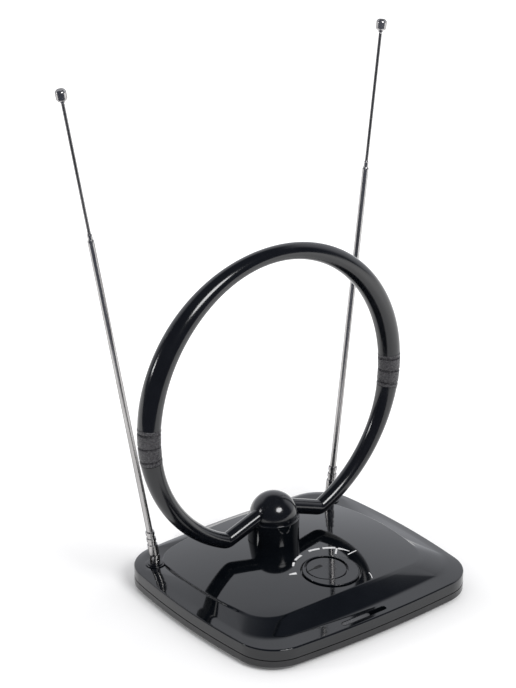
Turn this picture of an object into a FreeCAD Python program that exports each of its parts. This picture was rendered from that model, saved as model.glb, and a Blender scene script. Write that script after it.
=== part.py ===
import FreeCAD, Part
import Sketcher
import math
import os

# Indoor television antenna: a glossy two-shell base with a crowned top, a round UHF loop clamped in a
# post, and two telescopic VHF rods on swivelling hinges at the rear corners.
# Frame: millimetres, +Z up, the dial side faces -Y, the origin lies on the table under the base's middle.

doc = FreeCAD.newDocument("indoor_tv_antenna")
sheet = doc.addObject("Spreadsheet::Sheet", "Sizes")
sheet_rows = []
pieces = []

X_AXIS = FreeCAD.Vector(1, 0, 0)
Y_AXIS = FreeCAD.Vector(0, 1, 0)
SIDES = (("left", -1), ("right", 1))


class Size:
    """A measure held both as a number and as the sheet expression that gives it."""

    def __init__(self, value, text):
        self.value = float(value)
        self.text = text

    def __float__(self):
        return self.value

    def __add__(self, other):
        other = measure(other)
        return Size(self.value + other.value, f"({self.text} + {other.text})")

    def __sub__(self, other):
        other = measure(other)
        return Size(self.value - other.value, f"({self.text} - {other.text})")

    def __mul__(self, other):
        other = measure(other)
        return Size(self.value * other.value, f"({self.text} * {other.text})")

    def __truediv__(self, other):
        other = measure(other)
        return Size(self.value / other.value, f"({self.text} / {other.text})")

    def __neg__(self):
        return Size(-self.value, f"(-1 * {self.text})")

    __radd__ = __add__
    __rmul__ = __mul__

    def __rsub__(self, other):
        return measure(other) - self


def measure(value):
    return value if isinstance(value, Size) else Size(value, repr(float(value)))


def size(alias, value):
    """Put one driving dimension in the sheet and return it."""
    sheet_rows.append(alias)
    row = len(sheet_rows)
    sheet.set(f"A{row}", alias)
    sheet.set(f"B{row}", str(value))
    sheet.setAlias(f"B{row}", alias)
    return Size(value, f"Sizes.{alias}")


def sine(angle):
    return Size(math.sin(math.radians(float(angle))), f"sin({measure(angle).text})")


def cosine(angle):
    return Size(math.cos(math.radians(float(angle))), f"cos({measure(angle).text})")


def arc_sine(ratio):
    """Angle in degrees whose sine is the ratio."""
    return Size(math.degrees(math.asin(float(ratio))), f"(asin({measure(ratio).text}) / 1deg)")


def arc_tangent(ratio):
    """Angle in degrees whose tangent is the ratio."""
    return Size(math.degrees(math.atan(float(ratio))), f"(atan({measure(ratio).text}) / 1deg)")


def root(value):
    return Size(math.sqrt(float(value)), f"sqrt({measure(value).text})")


def bind(target, name, value):
    target.setExpression(name, measure(value).text)


def put(target, at, turn=None):
    """Give an object its place, and a turn of (axis, degrees) about that place."""
    turn = turn or (X_AXIS, 0.0)
    axis, angle = turn
    base = FreeCAD.Vector(*[float(v) for v in at])
    target.Placement = FreeCAD.Placement(base, FreeCAD.Rotation(axis, float(angle)))
    for name, value in zip("xyz", at):
        if isinstance(value, Size):
            bind(target, f"Placement.Base.{name}", value)
    if isinstance(angle, Size):
        bind(target, "Placement.Rotation.Angle", angle)
    return target


def cylinder(radius, height, at, turn=None):
    part = doc.addObject("Part::Cylinder", "cylinder")
    bind(part, "Radius", radius)
    bind(part, "Height", height)
    return put(part, at, turn)


def box(length, width, height, at):
    part = doc.addObject("Part::Box", "box")
    bind(part, "Length", length)
    bind(part, "Width", width)
    bind(part, "Height", height)
    return put(part, at)


def middle_box(length, width, height, at):
    """A box whose foot is centred on the given point."""
    x, y, z = at
    return box(length, width, height, (measure(x) - measure(length) / 2, measure(y) - measure(width) / 2, z))


def sphere(radius, at):
    part = doc.addObject("Part::Sphere", "sphere")
    bind(part, "Radius", radius)
    return put(part, at)


def fuse(*shapes):
    part = doc.addObject("Part::MultiFuse", "fuse")
    part.Shapes = list(shapes)
    part.Refine = True
    return part


def cut(body, *tools):
    part = doc.addObject("Part::Cut", "cut")
    part.Base = body
    part.Tool = tools[0] if len(tools) == 1 else fuse(*tools)
    part.Refine = True
    return part


def common(first, second):
    part = doc.addObject("Part::Common", "common")
    part.Base = first
    part.Tool = second
    return part


def loft(*sections):
    part = doc.addObject("Part::Loft", "loft")
    part.Sections = list(sections)
    part.Solid = True
    part.Ruled = True
    return part


def extrude(profile, height):
    part = doc.addObject("Part::Extrusion", "extrusion")
    part.Base = profile
    part.DirMode = "Custom"
    part.Dir = FreeCAD.Vector(0, 0, 1)
    bind(part, "LengthFwd", height)
    part.Solid = True
    return part


def group(shapes):
    """Separate like solids kept together as one piece."""
    part = doc.addObject("Part::Compound", "group")
    part.Links = list(shapes)
    return part


def name_piece(part, label):
    part.Label = label
    pieces.append(part)
    return part


def hold(sketch, corner, value, kind, axis):
    """Tie one coordinate of a corner to its expression, or to the sketch axis where it is nought."""
    value = measure(value)
    if abs(value.value) < 1e-9:
        sketch.addConstraint(Sketcher.Constraint("PointOnObject", corner, 1, axis))
        return
    ends = (-1, 1, corner, 1) if value.value > 0 else (corner, 1, -1, 1)
    index = sketch.addConstraint(Sketcher.Constraint(kind, *ends, abs(value.value)))
    sketch.setExpression(f"Constraints[{index}]", value.text if value.value > 0 else (-value).text)


def polygon(sketch, corners):
    """A closed run of straight edges through corners that are all tied to the sheet."""
    vectors = [FreeCAD.Vector(float(x), float(y), 0) for x, y in corners]
    count = len(corners)
    for i in range(count):
        sketch.addGeometry(Part.LineSegment(vectors[i], vectors[(i + 1) % count]), False)
    for i in range(count):
        sketch.addConstraint(Sketcher.Constraint("Coincident", i, 2, (i + 1) % count, 1))
    for i, (x, y) in enumerate(corners):
        hold(sketch, i, x, "DistanceX", -2)
        hold(sketch, i, y, "DistanceY", -1)


def turned(corners, at, turn=None):
    """A piece turned about its own axis, from (radius, height) corners of its half section."""
    body = doc.addObject("PartDesign::Body", "turned")
    sketch = body.newObject("Sketcher::SketchObject", "half_section")
    plane = [p for p in body.Origin.OriginFeatures if p.Role == "XZ_Plane"][0]
    sketch.AttachmentSupport = [(plane, "")]
    sketch.MapMode = "FlatFace"
    polygon(sketch, corners)
    spin = body.newObject("PartDesign::Revolution", "revolution")
    spin.Profile = sketch
    spin.ReferenceAxis = (sketch, ["V_Axis"])
    spin.Angle = 360
    body.Tip = spin
    return put(body, at, turn)


def torus_sector(ring, tube, start, sweep, at):
    """Part of an upright ring in the XZ plane, from a start angle above +X through a sweep."""
    part = doc.addObject("Part::Torus", "ring_sector")
    bind(part, "Radius1", ring)
    bind(part, "Radius2", tube)
    part.Angle1 = -180
    part.Angle2 = 180
    bind(part, "Angle3", sweep)
    upright = FreeCAD.Rotation(X_AXIS, 90) * FreeCAD.Rotation(FreeCAD.Vector(0, 0, 1), float(start))
    part.Placement = FreeCAD.Placement(FreeCAD.Vector(*[float(v) for v in at]), upright)
    for name, value in zip("xyz", at):
        if isinstance(value, Size):
            bind(part, f"Placement.Base.{name}", value)
    return part


def ring_loft(ring, tall, stations, at):
    """Upright tube, round in section, through stations of (angle above +X, tube radius) on a tall ring."""
    x, y, z = at
    sections = []
    for angle, tube in stations:
        section = doc.addObject("Part::Circle", "ring_section")
        bind(section, "Radius", tube)
        put(section, (x + ring * cosine(angle), y, z + tall * sine(angle)), (Y_AXIS, -angle))
        sections.append(section)
    part = loft(*sections)
    part.Ruled = False
    return part


# Base outline: a rounded oblong whose sides bulge slightly. The plateau's outline bulges more.
base_half_width = size("base_half_width", 89.0)
base_half_depth = size("base_half_depth", 79.3)
side_bulge_radius = size("side_bulge_radius", 475.0)
front_bulge_radius = size("front_bulge_radius", 790.0)
base_bulge = (side_bulge_radius, front_bulge_radius)
base_corner_radius = size("base_corner_radius", 26.7)
plateau_side_bulge = size("plateau_side_bulge", 215.0)
plateau_front_bulge = size("plateau_front_bulge", 390.0)
plateau_bulge = (plateau_side_bulge, plateau_front_bulge)
plateau_corner_radius = size("plateau_corner_radius", 12.0)
plateau_side_inset = size("plateau_side_inset", 16.2)
plateau_front_inset = size("plateau_front_inset", 23.8)
plateau_rear_inset = size("plateau_rear_inset", 9.5)
plateau_step = size("plateau_step", 1.3)

# Heights and walls of the two shells.
foot_stand = size("foot_stand", 1.0)
tray_floor = size("tray_floor", 2.2)
tray_rim_height = size("tray_rim_height", 7.6)
tray_tuck = size("tray_tuck", 2.4)
tray_tuck_height = size("tray_tuck_height", 2.4)
parting_gap = size("parting_gap", 0.5)
edge_height = size("edge_height", 15.3)
shell_wall = size("shell_wall", 2.4)
lip_wall = size("lip_wall", 1.4)
lip_rise = size("lip_rise", 2.6)
fit_gap = size("fit_gap", 0.15)

# Flange, bevel and crowned plateau of the cover.
flange_rise = size("flange_rise", 1.1)
flange_side = size("flange_side", 6.0)
flange_front = size("flange_front", 11.6)
flange_rear = size("flange_rear", 3.7)
bevel_rise = size("bevel_rise", 10.4)
bevel_side = size("bevel_side", 39.2)
bevel_front = size("bevel_front", 18.6)
bevel_rear = size("bevel_rear", 27.0)
bevel_foot_corner = size("bevel_foot_corner", 24.0)
bevel_top_corner = size("bevel_top_corner", 9.0)
crown_height = size("crown_height", 26.6)
crown_radius = size("crown_radius", 450.0)
crown_forward = size("crown_forward", 8.0)

cover_bottom = tray_rim_height + parting_gap
floor_top = foot_stand + tray_floor
flange_height = edge_height + flange_rise
bevel_height = flange_height + bevel_rise


def outline(half_width, half_depth, corner, z, middle=0.0, inset=0.0, bulge=base_bulge):
    """Closed outline at one height: four bulged sides joined by four tangent corner arcs."""
    across = measure(half_width) - inset
    deep = measure(half_depth) - inset
    corner = measure(corner) - inset
    side_arc = bulge[0] - inset
    front_arc = bulge[1] - inset
    side_shift = side_arc - across
    front_shift = front_arc - deep
    reach_side = float(side_arc) - float(corner)
    reach_front = float(front_arc) - float(corner)
    spread = math.hypot(float(side_shift), float(front_shift))
    along = (reach_side**2 - reach_front**2 + spread**2) / (2 * spread)
    height = math.sqrt(reach_side**2 - along**2)
    unit_x = float(side_shift) / spread
    unit_y = -float(front_shift) / spread
    corner_x = -float(side_shift) + along * unit_x - height * unit_y
    corner_y = along * unit_y + height * unit_x
    low = math.atan2(corner_y, corner_x + float(side_shift))
    high = math.atan2(corner_y + float(front_shift), corner_x)
    sketch = doc.addObject("Sketcher::SketchObject", "outline")
    put(sketch, (0.0, middle, z))
    arcs = (
        (-float(side_shift), 0, side_arc, -low, low),
        (corner_x, corner_y, corner, low, high),
        (0, -float(front_shift), front_arc, high, math.pi - high),
        (-corner_x, corner_y, corner, math.pi - high, math.pi - low),
        (float(side_shift), 0, side_arc, math.pi - low, math.pi + low),
        (-corner_x, -corner_y, corner, math.pi + low, math.pi + high),
        (0, float(front_shift), front_arc, math.pi + high, 2 * math.pi - high),
        (corner_x, -corner_y, corner, 2 * math.pi - high, 2 * math.pi - low),
    )
    for x, y, radius, start, end in arcs:
        circle = Part.Circle(FreeCAD.Vector(x, y, 0), FreeCAD.Vector(0, 0, 1), float(radius))
        sketch.addGeometry(Part.ArcOfCircle(circle, start, end), False)
    for i in range(len(arcs)):
        sketch.addConstraint(Sketcher.Constraint("Tangent", i, 2, (i + 1) % len(arcs), 1))
    for i, axis in ((0, -1), (2, -2), (4, -1), (6, -2)):
        sketch.addConstraint(Sketcher.Constraint("PointOnObject", i, 3, axis))
    shifts = (
        ("DistanceX", (0, 3, -1, 1), side_shift),
        ("DistanceX", (-1, 1, 4, 3), side_shift),
        ("DistanceY", (2, 3, -1, 1), front_shift),
        ("DistanceY", (-1, 1, 6, 3), front_shift),
    )
    for kind, ends, value in shifts:
        index = sketch.addConstraint(Sketcher.Constraint(kind, *ends, float(value)))
        sketch.setExpression(f"Constraints[{index}]", value.text)
    for i, arc in enumerate(arcs):
        index = sketch.addConstraint(Sketcher.Constraint("Radius", i, float(arc[2])))
        sketch.setExpression(f"Constraints[{index}]", arc[2].text)
    return sketch


def base_outline(z, inset=0.0):
    return outline(base_half_width, base_half_depth, base_corner_radius, z, 0.0, inset)


def bevel_foot_outline(z, inset=0.0):
    half_depth = base_half_depth - (flange_front + flange_rear) / 2
    middle = (flange_front - flange_rear) / 2
    return outline(base_half_width - flange_side, half_depth, bevel_foot_corner, z, middle, inset)


def bevel_top_outline(z, inset=0.0):
    half_depth = base_half_depth - (flange_front + flange_rear + bevel_front + bevel_rear) / 2
    middle = (flange_front + bevel_front - flange_rear - bevel_rear) / 2
    half_width = base_half_width - flange_side - bevel_side
    return outline(half_width, half_depth, bevel_top_corner, z, middle, inset)


def crown_at(x, y):
    """Height of the crowned plateau above a place on the base."""
    across = measure(x)
    along = measure(y) + crown_forward
    rise = root(crown_radius * crown_radius - across * across - along * along)
    return crown_height - crown_radius + rise


def crown_ball(sink):
    """Ball whose cap is the crown, or lies the given depth under it."""
    return sphere(crown_radius - sink, (0.0, -crown_forward, crown_height - crown_radius))


def cover_block(inset, bottom):
    """The skirt under the plateau, or the cover's inside when inset by the wall."""
    lower = loft(
        base_outline(bottom, inset),
        base_outline(edge_height - inset, inset),
        bevel_foot_outline(flange_height - inset, inset),
    )
    upper = loft(
        bevel_foot_outline(flange_height - inset, inset),
        bevel_top_outline(bevel_height - inset, inset),
    )
    return fuse(lower, common(upper, crown_ball(plateau_step + inset)))


def plateau_block():
    """The crowned plateau that stands one small step above the skirt."""
    half_width = base_half_width - plateau_side_inset
    half_depth = base_half_depth - (plateau_front_inset + plateau_rear_inset) / 2
    middle = (plateau_front_inset - plateau_rear_inset) / 2
    bottom = flange_height - shell_wall / 2
    profile = outline(half_width, half_depth, plateau_corner_radius, bottom, middle, 0.0, plateau_bulge)
    return common(extrude(profile, crown_height), crown_ball(0.0))


# Dial: a round knob let into the plateau in front of the post, square to the crown there.
dial_forward = size("dial_forward", 32.3)
dial_radius = size("dial_radius", 18.6)
dial_gap = size("dial_gap", 0.4)
dial_recess = size("dial_recess", 2.6)
dial_floor = size("dial_floor", 2.0)
dial_rim = size("dial_rim", 2.2)
dial_proud = size("dial_proud", 0.5)
dial_tilt = arc_sine((dial_forward - crown_forward) / crown_radius)
dial_base = crown_at(0.0, -dial_forward)


def on_dial(along):
    """Point on the dial's axis, measured outwards from the crown."""
    return (0.0, -dial_forward - along * sine(dial_tilt), dial_base + along * cosine(dial_tilt))


def dial_cylinder(radius, start, length):
    return cylinder(radius, length, on_dial(start), (X_AXIS, dial_tilt))


# Loop and post.
post_back = size("post_back", 25.7)
post_radius = size("post_radius", 16.6)
post_wall = size("post_wall", 2.6)
post_top = size("post_top", 40.8)
post_sink = size("post_sink", 0.4)
dome_radius = size("dome_radius", 15.3)
dome_wall = size("dome_wall", 2.4)
dome_height = size("dome_height", 41.7)
dome_skirt = size("dome_skirt", 7.0)
loop_radius = size("loop_radius", 95.0)
loop_foot = size("loop_foot", 26.5)
loop_stretch = size("loop_stretch", 1.1)
loop_tall = loop_radius + loop_stretch
loop_centre = loop_foot + loop_tall
crest_tube = size("crest_tube", 5.2)
shoulder_tube = size("shoulder_tube", 7.5)
collar_tube = size("collar_tube", 7.05)
elbow_tube = size("elbow_tube", 5.0)
loop_bore = size("loop_bore", 2.0)
elbow_half_span = size("elbow_half_span", 37.6)
arm_end = size("arm_end", 9.0)
arm_end_height = size("arm_end_height", 44.8)
collar_drop = size("collar_drop", 4.6)
collar_length = size("collar_length", 23.0)
collar_proud = size("collar_proud", 0.15)
collar_pitch = size("collar_pitch", 8.6)
collar_groove = size("collar_groove", 1.0)
collar_groove_depth = size("collar_groove_depth", 0.7)
spigot_radius = size("spigot_radius", 4.6)
spigot_gap = size("spigot_gap", 0.4)
wire_radius = size("wire_radius", 1.5)
wire_leg_radius = size("wire_leg_radius", 0.9)
wire_reach = size("wire_reach", 5.2)
post_seat = crown_at(0.0, post_back + post_radius) - post_sink

# Rods and their hinges.
rod_side_inset = size("rod_side_inset", 17.2)
rod_rear_inset = size("rod_rear_inset", 23.5)
rod_lean = {"left": size("left_rod_lean", 10.3), "right": size("right_rod_lean", 6.5)}
pad_rise = size("pad_rise", 0.7)
pad_radius = size("pad_radius", 6.2)
bush_flange = size("bush_flange", 4.9)
bush_flange_height = size("bush_flange_height", 0.6)
bush_radius = size("bush_radius", 4.2)
bush_length = size("bush_length", 7.0)
stud_radius = size("stud_radius", 2.4)
running_gap = size("running_gap", 0.06)
pivot_rise = size("pivot_rise", 3.0)
fork_radius = size("fork_radius", 3.2)
fork_slot = size("fork_slot", 2.4)
fork_floor = size("fork_floor", 2.6)
tongue_gap = size("tongue_gap", 0.1)
tongue_radius = size("tongue_radius", 2.4)
pin_radius = size("pin_radius", 1.0)
ferrule_start = size("ferrule_start", 3.5)
ferrule_length = size("ferrule_length", 7.5)
ferrule_radius = size("ferrule_radius", 3.25)
neck_length = size("neck_length", 9.5)
outer_radius = size("outer_radius", 2.0)
middle_radius = size("middle_radius", 1.5)
inner_radius = size("inner_radius", 1.0)
slide_gap = size("slide_gap", 0.05)
middle_show = size("middle_show", 4.0)
inner_show = size("inner_show", 83.0)
stage_length = size("stage_length", 208.0)
ferrule_seat = size("ferrule_seat", 3.0)
stage_room = size("stage_room", 13.0)
outer_end = ferrule_start + ferrule_seat + stage_room + stage_length
bush_chamfer = size("bush_chamfer", 0.4)
swivel_gap = size("swivel_gap", 0.1)
pin_inset = size("pin_inset", 0.2)
keeper_inset = size("keeper_inset", 0.6)
keeper_thick = size("keeper_thick", 0.8)
keeper_screw = size("keeper_screw", 1.2)
keeper_screw_length = size("keeper_screw_length", 5.0)
keeper_head = size("keeper_head", 2.4)
keeper_head_height = size("keeper_head_height", 1.3)
ring_rise = size("ring_rise", 0.2)
ferrule_chamfer = size("ferrule_chamfer", 0.5)
tip_neck = size("tip_neck", 1.4)
tip_radius = size("tip_radius", 3.25)
tip_length = size("tip_length", 8.0)
rod_x = base_half_width - rod_side_inset
rod_y = base_half_depth - rod_rear_inset
pad_top = flange_height + pad_rise
pivot_height = pad_top + bush_flange_height + pivot_rise

# Board, sockets and indicator.
board_half_width = size("board_half_width", 45.0)
board_front = size("board_front", 14.0)
board_rear = size("board_rear", 46.0)
board_thick = size("board_thick", 1.6)
board_stand = size("board_stand", 5.0)
board_hole_inset = size("board_hole_inset", 4.0)
board_screw = size("board_screw", 1.2)
board_bottom = floor_top + board_stand
board_top = board_bottom + board_thick
can_length = size("can_length", 26.0)
can_width = size("can_width", 20.0)
can_height = size("can_height", 6.0)
can_left = size("can_left", 26.0)
parts_back = size("parts_back", 4.0)
core_ring = size("core_ring", 4.2)
core_thick = size("core_thick", 1.8)
core_right = size("core_right", 26.0)
core_back = size("core_back", 26.0)
capacitor_radius = size("capacitor_radius", 3.2)
capacitor_height = size("capacitor_height", 7.5)
capacitor_right = size("capacitor_right", 30.0)
pot_radius = size("pot_radius", 8.4)
pot_length = size("pot_length", 7.0)
shaft_radius = size("shaft_radius", 3.0)
hub_radius = size("hub_radius", 4.8)
socket_side = size("socket_side", 20.0)
socket_radius = size("socket_radius", 4.5)
socket_reach = size("socket_reach", 9.0)
socket_depth = size("socket_depth", 8.0)
socket_wall = size("socket_wall", 1.0)
socket_bore = size("socket_bore", 7.0)
nut_rim = size("nut_rim", 2.2)
nut_thick = size("nut_thick", 2.4)
nut_gap = size("nut_gap", 0.3)
jack_wall = size("jack_wall", 1.2)
jack_floor = size("jack_floor", 2.0)
jack_pin = size("jack_pin", 0.9)
jack_side = size("jack_side", 18.0)
jack_radius = size("jack_radius", 4.2)
jack_depth = size("jack_depth", 11.0)
window_length = size("window_length", 34.0)
window_width = size("window_width", 3.2)
window_left = size("window_left", 8.0)
window_inset = size("window_inset", 5.4)
window_depth = size("window_depth", 3.2)
lens_length = size("lens_length", 21.0)
lens_top = size("lens_top", 0.4)
light_radius = size("light_radius", 1.3)
light_height = size("light_height", 3.0)

# Fasteners and feet.
screw_front_inset = size("screw_front_inset", 35.0)
screw_side_inset = size("screw_side_inset", 33.0)
screw_rear_inset = size("screw_rear_inset", 17.0)
screw_rear_side = size("screw_rear_side", 41.0)
screw_radius = size("screw_radius", 1.4)
screw_length = size("screw_length", 9.6)
screw_bite = size("screw_bite", 6.0)
screw_head = size("screw_head", 2.7)
screw_head_height = size("screw_head_height", 1.4)
boss_radius = size("boss_radius", 3.8)
foot_radius = size("foot_radius", 6.5)
foot_recess = size("foot_recess", 1.0)
foot_side_inset = size("foot_side_inset", 21.0)
foot_end_inset = size("foot_end_inset", 21.0)

rear_y = base_half_depth
socket_height = tray_rim_height + parting_gap / 2
screw_spots = [
    (sign * (base_half_width - side), y)
    for sign in (-1, 1)
    for side, y in (
        (screw_side_inset, screw_front_inset - base_half_depth),
        (screw_rear_side, base_half_depth - screw_rear_inset),
    )
]
foot_spots = {
    f"{end}_{side}": (sign * (base_half_width - foot_side_inset), way * (base_half_depth - foot_end_inset))
    for end, way in (("front", -1), ("rear", 1))
    for side, sign in SIDES
}
board_middle = (board_rear - board_front) / 2
board_spots = [
    (sign * (board_half_width - board_hole_inset), y)
    for sign in (-1, 1)
    for y in (board_hole_inset - board_front, board_rear - board_hole_inset)
]
boss_top = tray_rim_height - 0.6
rod_spots = {side: (sign * rod_x, rod_y) for side, sign in SIDES}


def rear_cylinder(x, radius, start, length, z=socket_height):
    """Round bar along +Y, placed by its distance from the rear wall."""
    return cylinder(radius, length, (x, rear_y + start + length, z), (X_AXIS, 90.0))


def arm_line():
    """Elbow and end of the straight arms, as half spans and heights, with their slope."""
    elbow_share = elbow_half_span / loop_radius
    elbow_height = loop_centre - loop_tall * root(1 - elbow_share * elbow_share)
    run = elbow_half_span - arm_end
    rise = arm_end_height - elbow_height
    return elbow_height, root(run * run + rise * rise), arc_tangent(rise / run)


elbow_height, arm_length, arm_slope = arm_line()
wire_leg_x = arm_end - wire_reach * cosine(arm_slope)
wire_leg_top = arm_end_height + wire_reach * sine(arm_slope)


def arm_bar(sign, radius, length=arm_length):
    """Straight arm from an elbow up into the dome."""
    at = (sign * elbow_half_span, post_back, elbow_height)
    return cylinder(radius, length, at, (-sign * Y_AXIS, 90 - arm_slope))


def make_cover():
    """Upper shell: bulged wall, flange, bevel and crown, with its seats, bosses and openings."""
    outside = fuse(cover_block(0.0, cover_bottom), plateau_block())
    inside = cover_block(shell_wall, cover_bottom - 1)
    posts = [cylinder(boss_radius, crown_height, (x, y, boss_top)) for x, y in screw_spots]
    dial_boss = dial_cylinder(dial_radius + dial_gap + shell_wall, -dial_recess - dial_floor, crown_height)
    post_boss_pad = cylinder(post_radius + shell_wall, crown_height, (0.0, post_back, post_seat - shell_wall))
    window_pad = middle_box(
        window_length + 2 * shell_wall,
        window_width + 2 * shell_wall,
        crown_height,
        (-window_left, window_inset - base_half_depth, edge_height - window_depth - shell_wall / 2),
    )
    pads = [cylinder(pad_radius, pad_top - cover_bottom - shell_wall, (x, y, cover_bottom + shell_wall))
            for x, y in rod_spots.values()]
    filled = common(fuse(dial_boss, post_boss_pad, window_pad, *posts), outside)
    shell = fuse(cut(outside, inside), filled, *pads)
    pilot_radius = screw_radius + running_gap
    pilots = [cylinder(pilot_radius, screw_bite + 1, (x, y, boss_top - 1)) for x, y in screw_spots]
    bush_holes = [cylinder(bush_radius + fit_gap, pad_top + 1, (x, y, 0.0)) for x, y in rod_spots.values()]
    well_radius = bush_flange + fit_gap
    bush_wells = [cylinder(well_radius, crown_height, (x, y, pad_top)) for x, y in rod_spots.values()]
    openings = [
        dial_cylinder(dial_radius + dial_gap, -dial_recess, crown_height),
        dial_cylinder(hub_radius + dial_gap, -dial_recess - dial_floor - 1, crown_height),
        cylinder(post_radius + fit_gap, crown_height, (0.0, post_back, post_seat)),
        cylinder(post_radius - post_wall, crown_height, (0.0, post_back, post_seat - shell_wall - 1)),
        window_shape(window_length, 0.0, fit_gap, window_depth + flange_rise + 1),
        rear_cylinder(-socket_side, socket_radius + fit_gap, -shell_wall - 4, shell_wall + 6),
        rear_cylinder(jack_side, jack_radius + fit_gap, -shell_wall - 4, shell_wall + 6),
    ]
    name_piece(cut(shell, *openings, *pilots, *bush_holes, *bush_wells), "base_upper_cover")


def window_shape(length, shift, grow, height):
    """Oblong with round ends in the front flange, standing on the window's floor."""
    x = -window_left + shift
    y = window_inset - base_half_depth
    bottom = edge_height - window_depth
    half = length / 2 - window_width / 2
    ends = [cylinder(window_width / 2 + grow, height, (x + sign * half, y, bottom)) for sign in (-1, 1)]
    bar = middle_box(2 * half, window_width + 2 * grow, height, (x, y, bottom))
    return fuse(bar, *ends)


def make_tray():
    """Lower shell: tucked-in floor, rim, locating lip, screw bosses and board standoffs."""
    outside = loft(
        base_outline(foot_stand, tray_tuck),
        base_outline(foot_stand + tray_tuck_height),
        base_outline(tray_rim_height),
    )
    lip_inset = shell_wall + fit_gap
    cavity = extrude(base_outline(floor_top, lip_inset + lip_wall), edge_height)
    lip = extrude(base_outline(tray_rim_height - 1, lip_inset), lip_rise + 1)
    rim = cut(fuse(outside, lip), cavity)
    bosses = [cylinder(boss_radius, boss_top - floor_top, (x, y, floor_top)) for x, y in screw_spots]
    stands = [cylinder(board_screw + 1.6, board_stand, (x, y, floor_top)) for x, y in board_spots]
    feet = [cylinder(foot_radius + fit_gap, foot_recess, (x, y, foot_stand)) for x, y in foot_spots.values()]
    head_depth = screw_head_height + fit_gap
    heads = [cylinder(screw_head + fit_gap, head_depth, (x, y, foot_stand)) for x, y in screw_spots]
    shanks = [cylinder(screw_radius + fit_gap, edge_height, (x, y, 0.0)) for x, y in screw_spots]
    pilots = [cylinder(board_screw + running_gap, board_stand, (x, y, floor_top + 1)) for x, y in board_spots]
    notches = [
        rear_cylinder(-socket_side, socket_radius + fit_gap, -shell_wall - 4, shell_wall + 6),
        rear_cylinder(jack_side, jack_radius + fit_gap, -shell_wall - 4, shell_wall + 6),
    ]
    solid = fuse(rim, *bosses, *stands)
    name_piece(cut(solid, *feet, *heads, *shanks, *pilots, *notches), "base_lower_tray")


def make_feet():
    """Four soft feet let into the tray's underside."""
    chamfer = foot_stand / 2
    for place, (x, y) in foot_spots.items():
        corners = [
            (0.0, 0.0),
            (foot_radius - chamfer, 0.0),
            (foot_radius, chamfer),
            (foot_radius, foot_stand + foot_recess),
            (0.0, foot_stand + foot_recess),
        ]
        name_piece(turned(corners, (x, y, 0.0)), f"foot_{place}")


def screw(head_radius, head_height, radius, length, at):
    """A pan-head screw that points up, its head's underside outermost."""
    corners = [
        (0.0, 0.0),
        (head_radius, 0.0),
        (head_radius, head_height),
        (radius, head_height),
        (radius, head_height + length - radius),
        (0.0, head_height + length),
    ]
    return turned(corners, at)


def make_fasteners():
    """Screws that join the shells, hold the board down and clamp the post."""
    shells = [screw(screw_head, screw_head_height, screw_radius, screw_length, (x, y, foot_stand + fit_gap))
              for x, y in screw_spots]
    name_piece(group(shells), "shell_screws")
    down = [cylinder(board_screw * 2, board_screw, (x, y, board_top)) for x, y in board_spots]
    shanks = [cylinder(board_screw, board_stand, (x, y, board_top - board_stand)) for x, y in board_spots]
    name_piece(group([fuse(head, shank) for head, shank in zip(down, shanks)]), "board_screws")


def make_board():
    """Amplifier board on the tray's standoffs, with its larger parts."""
    board_at = (0.0, board_middle, board_bottom)
    plate = middle_box(2 * board_half_width, board_rear + board_front, board_thick, board_at)
    hole_start = board_bottom - 1
    hole_length = board_thick + 2
    holes = [cylinder(board_screw + fit_gap, hole_length, (x, y, hole_start)) for x, y in board_spots]
    leg_hole = wire_leg_radius + fit_gap
    legs = [cylinder(leg_hole, hole_length, (sign * wire_leg_x, post_back, hole_start)) for sign in (-1, 1)]
    name_piece(cut(plate, *holes, *legs), "amplifier_board")
    can = middle_box(can_length, can_width, can_height, (-can_left, parts_back, board_top))
    name_piece(can, "shield_can")
    ring = doc.addObject("Part::Torus", "ring_core")
    bind(ring, "Radius1", core_ring)
    bind(ring, "Radius2", core_thick)
    name_piece(put(ring, (core_right, core_back, board_top + core_thick)), "matching_transformer")
    tin = cylinder(capacitor_radius, capacitor_height, (capacitor_right, parts_back, board_top))
    name_piece(tin, "supply_capacitor")


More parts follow.
